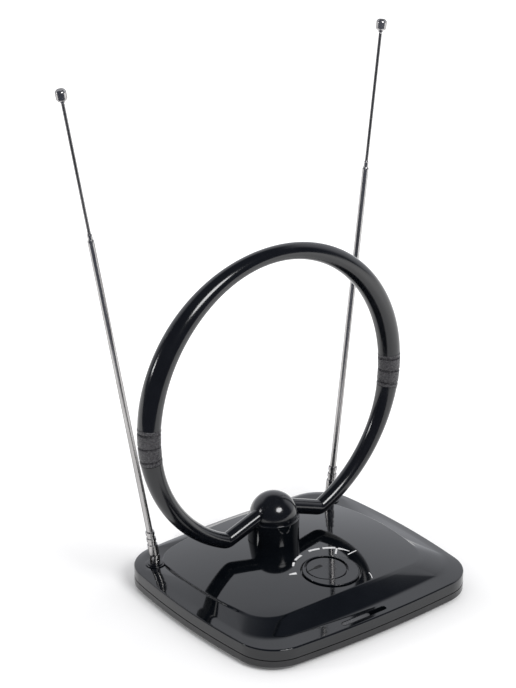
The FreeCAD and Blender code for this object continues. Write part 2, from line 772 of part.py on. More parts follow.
def make_gain_control():
    """Potentiometer under the plateau, its shaft, and the dial knob with a dished finger face."""
    underside = -dial_recess - dial_floor
    pot = dial_cylinder(pot_radius, underside - pot_length, pot_length)
    bore = dial_cylinder(shaft_radius + running_gap, underside - pot_length + 1.5, pot_length)
    name_piece(cut(pot, bore), "gain_potentiometer")
    shaft_top = dial_proud - dial_rim
    shaft_start = underside - pot_length + 1.6
    shaft = dial_cylinder(shaft_radius, shaft_start, shaft_top - shaft_start)
    name_piece(shaft, "gain_shaft")
    rim_chamfer = 0.5
    corners = [
        (0.0, shaft_top),
        (shaft_radius, shaft_top),
        (shaft_radius, underside + 0.3),
        (hub_radius, underside + 0.3),
        (hub_radius, shaft_top),
        (dial_radius, shaft_top),
        (dial_radius, dial_proud - rim_chamfer),
        (dial_radius - rim_chamfer, dial_proud),
        (0.0, dial_proud),
    ]
    disc = turned(corners, on_dial(0.0), (X_AXIS, dial_tilt))
    dish_radius = size("dish_radius", 14.0)
    dish_side = size("dish_side", 0.7)
    dish_back = size("dish_back", 3.6)
    dish_depth = size("dish_depth", 0.9)
    dish = dial_cylinder(dish_radius, dial_proud - dish_depth, 3.0)
    dish_floor = dial_proud - dish_depth
    bind(dish, "Placement.Base.x", -dish_side)
    dish_y = dish_back * cosine(dial_tilt) - dial_forward - dish_floor * sine(dial_tilt)
    dish_z = dial_base + dish_floor * cosine(dial_tilt) + dish_back * sine(dial_tilt)
    bind(dish, "Placement.Base.y", dish_y)
    bind(dish, "Placement.Base.z", dish_z)
    pointer_length = size("pointer_length", 11.0)
    pointer_width = size("pointer_width", 1.1)
    pointer_middle = size("pointer_middle", 7.4)
    pointer_back = size("pointer_back", 7.8)
    pointer_depth = size("pointer_depth", 0.5)
    pointer_floor = dial_base + pointer_back * sine(dial_tilt) + dish_floor - pointer_depth
    pointer_at = (-pointer_middle, pointer_back - dial_forward, pointer_floor)
    pointer = middle_box(pointer_length, pointer_width, dish_depth + 2, pointer_at)
    name_piece(cut(disc, dish, pointer), "gain_knob")


def make_sockets():
    """Aerial outlet and power inlet at the rear wall, and the power light at the front flange."""
    inside = shell_wall + socket_depth
    barrel = rear_cylinder(-socket_side, socket_radius, -inside, inside + socket_reach)
    bore_radius = socket_radius - socket_wall
    bore = rear_cylinder(-socket_side, bore_radius, socket_reach - socket_bore, socket_bore + 1)
    name_piece(cut(barrel, bore), "aerial_socket")
    nut = rear_cylinder(-socket_side, socket_radius + nut_rim, nut_gap, nut_thick)
    hole = rear_cylinder(-socket_side, socket_radius, -1.0, nut_thick + 3)
    name_piece(cut(nut, hole), "aerial_socket_nut")
    jack = rear_cylinder(jack_side, jack_radius, -jack_depth, jack_depth)
    well = rear_cylinder(jack_side, jack_radius - jack_wall, jack_floor - jack_depth, jack_depth)
    pin = rear_cylinder(jack_side, jack_pin, jack_floor / 2 - jack_depth, jack_depth - jack_floor)
    name_piece(fuse(cut(jack, well), pin), "power_jack")
    lens_shift = (lens_length - window_length) / 2
    name_piece(window_shape(lens_length, lens_shift, 0.0, window_depth + lens_top), "indicator_lens")
    light_top = edge_height - window_depth - shell_wall / 2
    light_at = (lens_shift - window_left, window_inset - base_half_depth, light_top - light_height)
    name_piece(cylinder(light_radius, light_height, light_at), "power_light")


def make_post():
    """Hollow post in its seat on the plateau, notched for the arms, and the dome cap that clamps them."""
    rim = 1.0
    corners = [
        (post_radius - post_wall, post_seat),
        (post_radius, post_seat),
        (post_radius, post_top - rim),
        (post_radius - rim / 3, post_top - rim / 3),
        (post_radius - rim, post_top),
        (post_radius - post_wall, post_top),
    ]
    sleeve = turned(corners, (0.0, post_back, 0.0))
    arms = [arm_bar(sign, elbow_tube + fit_gap) for _, sign in SIDES]
    name_piece(cut(sleeve, *arms), "loop_post")
    middle = (0.0, post_back, dome_height)
    skirt_radius = post_radius - post_wall - fit_gap
    below = cylinder(2 * dome_radius, dome_radius, (0.0, post_back, post_top - dome_radius))
    skirt = cylinder(skirt_radius, dome_skirt + 1, (0.0, post_back, post_top - dome_skirt))
    hollow = cylinder(skirt_radius - dome_wall, dome_skirt + 2, (0.0, post_back, post_top - dome_skirt - 1))
    ball = fuse(cut(sphere(dome_radius, middle), below), skirt)
    cap = cut(ball, sphere(dome_radius - dome_wall, middle), hollow)
    arm_cuts = [arm_bar(sign, elbow_tube + fit_gap) for _, sign in SIDES]
    name_piece(cut(cap, *arm_cuts), "dome_cap")


def make_loop():
    """Two lower arms and one upper arc of moulded tube, grooved collars over their joints, wire inside."""
    centre = (0.0, post_back, loop_centre)
    collar_angle = arc_sine(collar_drop / loop_radius)
    half_collar = arc_sine(collar_length / 2 / loop_radius)
    elbow_angle = arc_tangent((loop_centre - elbow_height) / elbow_half_span * loop_radius / loop_tall)
    joint_gap = 0.1
    upper_sweep = 180 + 2 * collar_angle - 2 * half_collar
    above = half_collar - collar_angle
    below = -half_collar - collar_angle
    collar_spread = shoulder_tube - collar_tube
    collar_top = collar_tube + collar_spread / 2
    collar_bottom = collar_tube - collar_spread / 2
    crest_spread = shoulder_tube - crest_tube
    quarter = [(above, collar_top)]
    for angle, share in ((15.0, 1.0), (30.0, 0.97), (45.0, 0.78), (60.0, 0.45), (75.0, 0.14)):
        quarter.append((measure(angle), crest_tube + share * crest_spread))
    other_quarter = [(180 - angle, tube) for angle, tube in reversed(quarter)]
    upper = ring_loft(loop_radius, loop_tall, [*quarter, (measure(90.0), crest_tube), *other_quarter], centre)
    spigot_sweep = 180 + 2 * collar_angle - 2 * joint_gap
    spigot = torus_sector(loop_radius, spigot_radius, joint_gap - collar_angle, spigot_sweep, centre)
    bore_sweep = 190 + 2 * collar_angle
    bore = torus_sector(loop_radius, loop_bore, -5 - collar_angle, bore_sweep, centre)
    name_piece(cut(fuse(upper, spigot), bore), "loop_upper_arc")
    lower_sweep = elbow_angle - collar_angle - half_collar
    for side, sign in SIDES:
        tube_start = -elbow_angle if sign > 0 else 180 + collar_angle + half_collar
        stations = []
        for step, share in ((0.0, 0.0), (0.25, 0.40), (0.5, 0.66), (0.75, 0.86), (1.0, 1.0)):
            angle = below - step * lower_sweep
            station = angle if sign > 0 else 180 - angle
            stations.append((station, collar_bottom + share * (elbow_tube - collar_bottom)))
        tube = ring_loft(loop_radius, loop_tall, stations, centre)
        plug_start = tube_start if sign > 0 else 180 + collar_angle + joint_gap
        plug_sweep = lower_sweep + half_collar - joint_gap
        plug = torus_sector(loop_radius, spigot_radius, plug_start, plug_sweep, centre)
        elbow = sphere(elbow_tube, (sign * elbow_half_span, post_back, elbow_height))
        arm = arm_bar(sign, elbow_tube)
        bore_start = -elbow_angle if sign > 0 else 170 + collar_angle
        hollow = torus_sector(loop_radius, loop_bore, bore_start, lower_sweep + half_collar + 10, centre)
        elbow_hollow = sphere(loop_bore, (sign * elbow_half_span, post_back, elbow_height))
        arm_hollow = arm_bar(sign, loop_bore)
        solid = cut(fuse(tube, plug, elbow, arm), hollow, elbow_hollow, arm_hollow)
        name_piece(solid, f"loop_{side}_arm")
        start = -collar_angle - half_collar if sign > 0 else 180 + collar_angle - half_collar
        sleeve_stations = []
        for angle, tube_here in ((above, collar_top), (-collar_angle, collar_tube), (below, collar_bottom)):
            station = angle if sign > 0 else 180 - angle
            sleeve_stations.append((station, tube_here + collar_proud))
        sleeve = ring_loft(loop_radius, loop_tall, sleeve_stations, centre)
        room = torus_sector(loop_radius, spigot_radius + fit_gap, start - 1, 2 * half_collar + 2, centre)
        groove_sweep = arc_sine(collar_groove / loop_radius)
        grooves = []
        for step in (-1, 0, 1):
            place = start + half_collar + step * arc_sine(collar_pitch / loop_radius) - groove_sweep / 2
            tube_here = collar_tube + sign * step * collar_spread * collar_pitch / collar_length
            band = torus_sector(loop_radius, tube_here + collar_proud + 1, place, groove_sweep, centre)
            groove_floor = tube_here + collar_proud - collar_groove_depth
            keep = torus_sector(loop_radius, groove_floor, place - 1, groove_sweep + 2, centre)
            grooves.append(cut(band, keep))
        name_piece(cut(sleeve, room, *grooves), f"loop_{side}_collar")
    wire_sweep = 180 + 2 * elbow_angle
    ring = torus_sector(loop_radius, wire_radius, -elbow_angle, wire_sweep, centre)
    bends = [sphere(wire_radius, (sign * elbow_half_span, post_back, elbow_height)) for _, sign in SIDES]
    straight = [arm_bar(sign, wire_radius, arm_length + wire_reach) for _, sign in SIDES]
    ends = [sphere(wire_radius, (sign * wire_leg_x, post_back, wire_leg_top)) for _, sign in SIDES]
    leg_length = wire_leg_top - board_bottom
    leg_spots = [(sign * wire_leg_x, post_back, board_bottom) for _, sign in SIDES]
    legs = [cylinder(wire_leg_radius, leg_length, spot) for spot in leg_spots]
    name_piece(fuse(ring, *bends, *straight, *ends, *legs), "loop_conductor")


def make_rod(side, sign):
    """One telescopic rod: bush, swivelling fork, hinge pin, ferrule and three nested stages."""
    x, y = rod_spots[side]
    lean = rod_lean[side]
    turn = (sign * Y_AXIS, lean)

    def along(distance):
        return (x + sign * distance * sine(lean), y, pivot_height + distance * cosine(lean))

    bush_top = pad_top + bush_flange_height
    bush_bottom = pad_top - bush_length
    bush_bore = stud_radius + running_gap
    bush_corners = [
        (bush_bore, bush_bottom),
        (bush_radius, bush_bottom),
        (bush_radius, pad_top),
        (bush_flange, pad_top),
        (bush_flange, bush_top - bush_chamfer),
        (bush_flange - bush_chamfer, bush_top),
        (bush_bore, bush_top),
    ]
    name_piece(turned(bush_corners, (x, y, 0.0)), f"{side}_bush")

    fork_bottom = bush_top + swivel_gap
    stud_bottom = bush_bottom - swivel_gap
    stud = cylinder(stud_radius, fork_bottom - stud_bottom + 1, (x, y, stud_bottom))
    shank = cylinder(fork_radius, pivot_height - fork_bottom, (x, y, fork_bottom))
    cheek_bar = cylinder(fork_radius, 2 * fork_radius, (x, y + fork_radius, pivot_height), (X_AXIS, 90.0))
    cheek_round = cylinder(fork_radius, 3 * fork_radius, (x, y, fork_bottom))
    cheeks = common(cheek_bar, cheek_round)
    slot = middle_box(3 * fork_radius, fork_slot, 4 * fork_radius, (x, y, pivot_height - fork_floor))
    pin_hole = cylinder(pin_radius, 4 * fork_radius, (x, y + 2 * fork_radius, pivot_height), (X_AXIS, 90.0))
    keeper_bore = keeper_screw + swivel_gap / 2
    screw_hole = cylinder(keeper_bore, keeper_screw_length + 1, (x, y, stud_bottom - 1))
    name_piece(cut(fuse(stud, shank, cheeks), slot, pin_hole, screw_hole), f"{side}_swivel_fork")

    pin_length = 2 * (fork_radius - pin_inset)
    pin = cylinder(pin_radius, pin_length, (x, y + pin_length / 2, pivot_height), (X_AXIS, 90.0))
    name_piece(pin, f"{side}_hinge_pin")

    keeper_radius = bush_radius - keeper_inset
    keeper = cylinder(keeper_radius, keeper_thick, (x, y, stud_bottom - keeper_thick))
    keeper_hole = cylinder(keeper_bore, keeper_thick + 2, (x, y, stud_bottom - keeper_thick - 1))
    name_piece(cut(keeper, keeper_hole), f"{side}_keeper_washer")
    bolt_at = (x, y, stud_bottom - keeper_thick - keeper_head_height)
    bolt = screw(keeper_head, keeper_head_height, keeper_screw, keeper_screw_length, bolt_at)
    name_piece(bolt, f"{side}_keeper_screw")

    tongue_at = (x, y + tongue_radius, pivot_height)
    tongue_round = cylinder(tongue_radius, 2 * tongue_radius, tongue_at, (X_AXIS, 90.0))
    tongue_bar = cylinder(tongue_radius - tongue_gap, ferrule_start, along(0.0), turn)
    tongue_plate = middle_box(8 * tongue_radius, fork_slot - 2 * tongue_gap, 8 * tongue_radius,
                              (x, y, pivot_height - 4 * tongue_radius))
    tongue = common(fuse(tongue_round, tongue_bar), tongue_plate)
    step_radius = (ferrule_radius + outer_radius) / 2
    tube_start = ferrule_start + ferrule_seat
    ferrule_end = ferrule_start + ferrule_length
    neck_end = ferrule_end + neck_length
    band = neck_length / 4
    ferrule_corners = [
        (0.0, ferrule_start),
        (ferrule_radius, ferrule_start),
        (ferrule_radius, ferrule_end - ferrule_chamfer),
        (ferrule_radius - ferrule_chamfer, ferrule_end),
        (step_radius, ferrule_end),
        (step_radius, ferrule_end + band),
        (step_radius + 2 * ring_rise, ferrule_end + band),
        (step_radius + 2 * ring_rise, ferrule_end + 2 * band),
        (step_radius - ring_rise, ferrule_end + 2 * band),
        (step_radius - ring_rise, ferrule_end + 3 * band),
        (step_radius + ring_rise, ferrule_end + 3 * band),
        (step_radius + ring_rise, neck_end),
        (outer_radius, neck_end),
        (outer_radius, tube_start),
        (0.0, tube_start),
    ]
    ferrule = turned(ferrule_corners, (x, y, pivot_height), turn)
    hole_at = (x, y + 2 * tongue_radius, pivot_height)
    hinge_hole = cylinder(pin_radius + running_gap, 4 * tongue_radius, hole_at, (X_AXIS, 90.0))
    name_piece(cut(fuse(ferrule, tongue), hinge_hole), f"{side}_rod_ferrule")

    middle_bore = middle_radius + slide_gap
    outer_corners = [
        (middle_bore, tube_start),
        (outer_radius, tube_start),
        (outer_radius, outer_end - 1.2),
        (middle_bore + 0.12, outer_end),
        (middle_bore, outer_end),
    ]
    name_piece(turned(outer_corners, (x, y, pivot_height), turn), f"{side}_outer_tube")

    inner_bore = inner_radius + slide_gap
    middle_end = outer_end + middle_show
    middle_corners = [
        (inner_bore, middle_end - stage_length),
        (middle_radius, middle_end - stage_length),
        (middle_radius, middle_end - 1.0),
        (inner_bore + 0.12, middle_end),
        (inner_bore, middle_end),
    ]
    name_piece(turned(middle_corners, (x, y, pivot_height), turn), f"{side}_middle_tube")

    inner_end = middle_end + inner_show
    inner = cylinder(inner_radius, stage_length, along(inner_end - stage_length), turn)
    name_piece(inner, f"{side}_inner_rod")

    tip_corners = [
        (0.0, inner_end),
        (inner_radius + 0.5, inner_end),
        (inner_radius + 0.5, inner_end + tip_neck),
        (tip_radius - 0.7, inner_end + tip_neck),
        (tip_radius, inner_end + tip_neck + 0.9),
        (tip_radius, inner_end + tip_length - 1.2),
        (tip_radius - 1.0, inner_end + tip_length),
        (0.0, inner_end + tip_length),
    ]
    name_piece(turned(tip_corners, (x, y, pivot_height), turn), f"{side}_tip_cap")


def save_pieces():
    """Recompute, refuse anything that failed, and write one file for each piece."""
    doc.recompute()
    failed = [o.Label for o in doc.Objects if "Invalid" in o.State or "Error" in o.State]
    if failed:
        raise RuntimeError(f"these did not build: {failed}")
    for piece in pieces:
        if piece.Shape.isNull() or not piece.Shape.isValid():
            raise RuntimeError(f"{piece.Label} is not a valid solid")
    os.makedirs("parts", exist_ok=True)
    for piece in pieces:
        piece.Shape.exportStep(f"parts/{piece.Label}.step")
        print(piece.Label, "solids", len(piece.Shape.Solids), "volume", round(piece.Shape.Volume, 1))


make_cover()
make_tray()
make_feet()
make_fasteners()
make_board()
make_gain_control()
make_sockets()
make_post()
make_loop()
for rod_side, rod_sign in SIDES:
    make_rod(rod_side, rod_sign)
save_pieces()
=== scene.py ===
import math

import bpy
import numpy as np
from mathutils import Matrix, Vector, geometry


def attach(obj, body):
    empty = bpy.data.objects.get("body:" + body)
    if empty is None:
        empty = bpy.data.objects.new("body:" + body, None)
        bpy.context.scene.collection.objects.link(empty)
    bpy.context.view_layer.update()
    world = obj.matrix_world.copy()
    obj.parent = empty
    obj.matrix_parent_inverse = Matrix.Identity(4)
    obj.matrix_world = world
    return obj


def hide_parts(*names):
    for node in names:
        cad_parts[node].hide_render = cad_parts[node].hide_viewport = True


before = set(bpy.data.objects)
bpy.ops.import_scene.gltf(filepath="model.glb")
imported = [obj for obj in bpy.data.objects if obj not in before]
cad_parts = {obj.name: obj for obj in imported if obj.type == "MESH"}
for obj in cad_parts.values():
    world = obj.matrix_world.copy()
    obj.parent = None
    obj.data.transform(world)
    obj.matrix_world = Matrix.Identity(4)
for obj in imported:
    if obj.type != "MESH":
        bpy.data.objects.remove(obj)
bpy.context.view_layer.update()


# White studio
# The photo's setting: white paper under the object, a sky that mirrors as a white sweep beyond it and as a
# dark room overhead, one soft lamp above the camera's right and one far to the left. Not part of the object.

EYE = Vector((-0.7378, -0.9128, 0.6679))
LOOK = Vector((0.5626, 0.7280, -0.3918))
LENS, SENSOR = 109.97, 36.0
camera = bpy.data.objects.new("camera", bpy.data.cameras.new("camera"))
camera.location = EYE
camera.rotation_euler = LOOK.to_track_quat("-Z", "Y").to_euler()
camera.data.lens = LENS
camera.data.sensor_width = SENSOR
bpy.context.collection.objects.link(camera)
bpy.context.scene.camera = camera
bpy.context.scene.view_settings.view_transform = "Standard"

TO_CAMERA = Vector((EYE.x, EYE.y, 0.0)).normalized()
ACROSS = Vector((-TO_CAMERA.y, TO_CAMERA.x, 0.0))
PAPER_NEAR, PAPER_FAR, PAPER_WIDE = 0.21, 5.0, 5.0
paper_corners = (
    (PAPER_NEAR, -PAPER_WIDE), (PAPER_NEAR, PAPER_WIDE), (-PAPER_FAR, PAPER_WIDE), (-PAPER_FAR, -PAPER_WIDE),
)
table_mesh = bpy.data.meshes.new("table_top")
table_points = [TO_CAMERA * near + ACROSS * wide for near, wide in paper_corners]
table_mesh.from_pydata(table_points, [], [(0, 1, 2, 3)])
table_top = bpy.data.objects.new("table_top", table_mesh)
bpy.context.collection.objects.link(table_top)


def add_node(tree, kind, inputs=(), **settings):
    """New node with its settings; each input, by name or number, takes a value or another node's output."""
    added = tree.nodes.new(kind)
    for name, value in settings.items():
        setattr(added, name, value)
    for label, value in dict(inputs).items():
        if isinstance(value, bpy.types.NodeSocket):
            tree.links.new(value, added.inputs[label])
        else:
            added.inputs[label].default_value = value
    return added


def add_maths(tree, operation, *values):
    """Result of a sum on values or other nodes' outputs."""
    return add_node(tree, "ShaderNodeMath", enumerate(values), operation=operation).outputs[0]


def add_fade(tree, value, span, levels, curve="LINEAR"):
    """Result that goes from one level to the other as the value crosses the span."""
    inputs = dict(zip(("From Min", "From Max", "To Min", "To Max"), (*span, *levels)))
    inputs["Value"] = value
    return add_node(tree, "ShaderNodeMapRange", inputs, interpolation_type=curve).outputs[0]


def add_mix(tree, share, first, second):
    """Colour that goes from the first to the second with the share."""
    share_socket, first_socket, second_socket, colour_socket = 0, 6, 7, 2
    inputs = {share_socket: share, first_socket: first, second_socket: second}
    return add_node(tree, "ShaderNodeMix", inputs, data_type="RGBA").outputs[colour_socket]


# the paper is lit to white by itself a little way from the object, so that the shadow shows only beside it
WHITE, PAPER_WHITE, PAPER_ROUGH = (1, 1, 1, 1), (0.96, 0.96, 0.96, 1), 0.9
LIFT_NEAR, LIFT_FAR, LIFT_FORWARD = 0.02, 0.50, 0.09
NEAR_REACH, FAR_REACH = 0.14, 0.44
paper = bpy.data.materials.new("white_paper")
paper.use_nodes = True
paper_tree = paper.node_tree
paper_shader = paper_tree.nodes["Principled BSDF"]
paper_shader.inputs["Base Color"].default_value = PAPER_WHITE
paper_shader.inputs["Roughness"].default_value = PAPER_ROUGH
paper_shader.inputs["Specular IOR Level"].default_value = 0.0
paper_shader.inputs["Emission Color"].default_value = WHITE
paper_spot = add_node(paper_tree, "ShaderNodeTexCoord").outputs["Object"]
reach = add_node(
    paper_tree, "ShaderNodeVectorMath", {0: paper_spot, 1: TO_CAMERA * LIFT_FORWARD}, operation="DISTANCE")
lift = add_fade(paper_tree, reach.outputs["Value"], (NEAR_REACH, FAR_REACH), (LIFT_NEAR, LIFT_FAR))
paper_rays = add_node(paper_tree, "ShaderNodeLightPath")
seen_paper = paper_rays.outputs["Is Camera Ray"]
for ray in ("Is Glossy Ray", "Is Transmission Ray"):
    seen_paper = add_maths(paper_tree, "MAXIMUM", seen_paper, paper_rays.outputs[ray])
paper_glow = add_maths(paper_tree, "MULTIPLY", seen_paper, lift)
paper_tree.links.new(paper_glow, paper_shader.inputs["Emission Strength"])
table_mesh.materials.append(paper)

# what the gloss mirrors is white up to a height that falls to the sides, and only beyond the object
AMBIENT = (0.68, 0.68, 0.69, 1)
SWEEP = (0.92, 0.94, 1.0, 1)
DARK = (0.080, 0.088, 0.115, 1)
SIDE_FALL, RIGHT_FALL = 0.085, 0.035
SWEEP_TOP, SWEEP_SIDE = (0.69, 0.875), (-0.42, -0.02)
world = bpy.data.worlds.new("studio")
bpy.context.scene.world = world
world.use_nodes = True
sky_tree = world.node_tree
sky_tree.nodes.clear()
way = add_node(sky_tree, "ShaderNodeTexCoord").outputs["Generated"]
upward = add_node(sky_tree, "ShaderNodeSeparateXYZ", {0: way}).outputs["Z"]
aside, toward = (
    add_node(sky_tree, "ShaderNodeVectorMath", {0: way, 1: line}, operation="DOT_PRODUCT").outputs["Value"]
    for line in (ACROSS, TO_CAMERA)
)
falling = add_maths(sky_tree, "MULTIPLY_ADD", add_maths(sky_tree, "ABSOLUTE", aside), SIDE_FALL, upward)
leaning = add_maths(sky_tree, "MULTIPLY_ADD", aside, RIGHT_FALL, falling)
below_top = add_fade(sky_tree, leaning, SWEEP_TOP, (1.0, 0.0), "SMOOTHSTEP")
beyond = add_fade(sky_tree, toward, SWEEP_SIDE, (1.0, 0.0), "SMOOTHSTEP")
mirrored = add_mix(sky_tree, add_maths(sky_tree, "MULTIPLY", below_top, beyond), DARK, SWEEP)
sky_rays = add_node(sky_tree, "ShaderNodeLightPath")
in_gloss = add_maths(
    sky_tree, "MAXIMUM", sky_rays.outputs["Is Glossy Ray"], sky_rays.outputs["Is Transmission Ray"])
lit = add_mix(sky_tree, in_gloss, AMBIENT, mirrored)
seen_sky = add_mix(sky_tree, sky_rays.outputs["Is Camera Ray"], lit, WHITE)
sky = add_node(sky_tree, "ShaderNodeBackground", {"Color": seen_sky})
add_node(sky_tree, "ShaderNodeOutputWorld", {0: sky.outputs[0]})

AIM = Vector((0.0, 0.02, 0.10))
for lamp_name, direction, distance, width, tall, watts in (
    ("camera_side_lamp", Vector((-0.03, -0.767, 0.636)), 2.2, 1.10, 0.80, 28.0),
    ("left_lamp", Vector((-0.867, 0.381, 0.319)), 2.0, 0.30, 0.30, 4.0),
):
    lamp_data = bpy.data.lights.new(lamp_name, "AREA")
    lamp_data.shape = "ELLIPSE"
    lamp_data.size = width
    lamp_data.size_y = tall
    lamp_data.energy = watts
    lamp = bpy.data.objects.new(lamp_name, lamp_data)
    lamp.location = AIM + direction.normalized() * distance
    lamp.rotation_euler = (-direction).to_track_quat("-Z", "Y").to_euler()
    bpy.context.collection.objects.link(lamp)


# Base: upper cover
# One-piece moulded shell in polished black plastic: bulged wall, narrow flange with the indicator's slot,
# bevel, and a crowned plateau a small step above it with the dial's recess. Screwed on from below.

MM = 0.001
TINT_STOPS, ROUGH_SPAN, NOISE_DETAIL, FINER = (0.32, 0.68), (0.3, 0.7), 5.0, 4


def finish_of(
    name, dark, light, grain, rough, bump=0.0, depth=0.0001, metallic=0.0, ior=1.5,
    stretch=(1, 1, 1), edge=1.0,
):
    """Procedural finish: tint and roughness wander with noise, and the surface is slightly uneven."""
    material = bpy.data.materials.new(name)
    material.use_nodes = True
    tree = material.node_tree
    shader = tree.nodes["Principled BSDF"]
    shader.inputs["Metallic"].default_value = metallic
    shader.inputs["IOR"].default_value = ior
    shader.inputs["Specular Tint"].default_value = (edge, edge, edge, 1)
    spot = add_node(tree, "ShaderNodeTexCoord").outputs["Object"]
    squeezed = add_node(tree, "ShaderNodeMapping", {"Vector": spot, "Scale": stretch}).outputs[0]
    noise_inputs = {"Vector": squeezed, "Scale": grain, "Detail": NOISE_DETAIL}
    noise = add_node(tree, "ShaderNodeTexNoise", noise_inputs).outputs["Fac"]
    tint = add_node(tree, "ShaderNodeValToRGB", {0: noise})
    for stop, position, colour in zip(tint.color_ramp.elements, TINT_STOPS, (dark, light)):
        stop.position = position
        stop.color = (*colour, 1)
    tree.links.new(tint.outputs[0], shader.inputs["Base Color"])
    tree.links.new(add_fade(tree, noise, ROUGH_SPAN, rough), shader.inputs["Roughness"])
    if bump:
        fine_inputs = {"Vector": squeezed, "Scale": grain * FINER}
        fine = add_node(tree, "ShaderNodeTexNoise", fine_inputs).outputs["Fac"]
        uneven = add_node(tree, "ShaderNodeBump", {"Height": fine, "Strength": bump, "Distance": depth})
        tree.links.new(uneven.outputs[0], shader.inputs["Normal"])
    return material


def add_piece(name, mesh, body, replaced, sharp):
    """Object of a finished mesh, smooth up to the sharp angle, riding on a CAD body."""
    mesh.shade_smooth()
    mesh.set_sharp_from_angle(angle=math.radians(sharp))
    piece = bpy.data.objects.new(name, mesh)
    bpy.context.collection.objects.link(piece)
    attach(piece, body)
    if replaced:
        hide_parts(*replaced)


def make_piece(name, points, faces, material, body, slot, replaced=(), sharp=34.0):
    """Piece from points in millimetres and faces between them."""
    mesh = bpy.data.meshes.new(name)
    mesh.from_pydata([tuple(float(v) * MM for v in p) for p in points], [], [tuple(f) for f in faces])
    mesh.validate()
    mesh.materials.append(material)
    add_piece(name, mesh, body, replaced, sharp)


# outward facings of a quarter of the outlines in degrees, close together where one of them has a long side
FACING_SPANS = ((0, 6.0, 26), (6.0, 13.2, 14), (13.2, 81.4, 26), (81.4, 85.6, 14), (85.6, 90, 28))
quarter = np.radians(np.concatenate([
    np.linspace(start, end, steps, endpoint=False) for start, end, steps in FACING_SPANS
]))
facing = np.concatenate([quarter, math.pi - quarter[:0:-1], math.pi + quarter, 2 * math.pi - quarter[:0:-1]])
facing_out = np.c_[np.cos(facing), np.sin(facing)]
BASE_BULGE, PLATEAU_BULGE = (475.0, 790.0), (215.0, 390.0)


def outline(half_width, half_depth, corner, middle=0.0, bulge=BASE_BULGE, inset=0.0):
    """Rounded square with bulged sides as plan points, one for each facing, anticlockwise from the right."""
    rx, ry, rc = bulge[0] - inset, bulge[1] - inset, corner - inset
    sx, sy = bulge[0] - half_width, bulge[1] - half_depth
    spread = math.hypot(sx, sy)
    along = ((rx - rc) ** 2 - (ry - rc) ** 2 + spread**2) / (2 * spread)
    off = math.sqrt((rx - rc) ** 2 - along**2)
    ux, uy = sx / spread, -sy / spread
    cx, cy = -sx + along * ux - off * uy, along * uy + off * ux
    low, high = math.atan2(cy, cx + sx), math.atan2(cy + sy, cx)
    cos, sin = np.abs(facing_out).T
    turn = np.arctan2(sin, cos)
    x = np.where(turn < low, rx * cos - sx, np.where(turn < high, rc * cos + cx, ry * cos))
    y = np.where(turn < low, rx * sin, np.where(turn < high, rc * sin + cy, ry * sin - sy))
    return np.c_[x, y] * np.sign(facing_out) + [0.0, middle]


def at_height(plan, z):
    return np.c_[plan, np.broadcast_to(z, len(plan))]


CROWN_RADIUS, CROWN_TOP, CROWN_FORWARD = 450.0, 26.6, 8.0


def crown(x, y):
    return CROWN_TOP - CROWN_RADIUS + np.sqrt(CROWN_RADIUS**2 - x**2 - (y + CROWN_FORWARD) ** 2)


# a rounding takes at most this share of a run, and flat guard rings this gap past it keep the flats flat
ROUND_SHARE, GUARD_SHARE, GUARD_GAP = 0.4, 0.46, 0.4


def rounded_run(knots, steps=6):
    """Rings along a run of knot rings; each inner knot is (ring, radius) and is turned with that radius."""
    rings = [knots[0][0]]
    for (before, _), (here, radius), (after, _) in zip(knots, knots[1:], knots[2:]):
        back, ahead = before - here, after - here
        gap_back = np.linalg.norm(back, axis=1, keepdims=True)
        gap_ahead = np.linalg.norm(ahead, axis=1, keepdims=True)
        start = here + back * np.minimum(radius / gap_back, ROUND_SHARE)
        end = here + ahead * np.minimum(radius / gap_ahead, ROUND_SHARE)
        rings.append(here + back * np.minimum((radius + GUARD_GAP) / gap_back, GUARD_SHARE))
        for t in np.linspace(0, 1, steps):
            rings.append((1 - t) ** 2 * start + 2 * t * (1 - t) * here + t**2 * end)
        rings.append(here + ahead * np.minimum((radius + GUARD_GAP) / gap_ahead, GUARD_SHARE))
    rings.append(knots[-1][0])
    return rings


def join_rings(first, count, size):
    """Quads between successive closed rings of points."""
    faces = []
    for ring in range(count - 1):
        a, b = first + ring * size, first + (ring + 1) * size
        for j in range(size):
            k = (j + 1) % size
            faces.append((a + j, a + k, b + k, b + j))
    return faces


SAME_POINT = 1e-6


def fill_plan(plan, index, loops, empty):
    """Upward faces over plan points between closed loops, none with all its corners in one empty span."""
    fences = [(first + j, first + (j + 1) % size) for first, size in loops for j in range(size)]
    spread = geometry.delaunay_2d_cdt([Vector(p) for p in plan.tolist()], fences, [], 0, SAME_POINT)
    source = [ids[0] for ids in spread[3]]
    faces = []
    for face in spread[2]:
        corners = [source[v] for v in face]
        if any(all(low <= c < high for c in corners) for low, high in empty):
            continue
        (ax, ay), (bx, by), (cx, cy) = plan[corners][:3]
        if (bx - ax) * (cy - ay) - (by - ay) * (cx - ax) < 0:
            corners.reverse()
        faces.append(tuple(index[c] for c in corners))
    return faces


gloss_black = finish_of(
    "gloss_black_plastic", (0.0017, 0.0024, 0.0034), (0.0032, 0.0040, 0.0054), 60, (0.045, 0.075),
    0.015, 0.00004, ior=1.57,
)

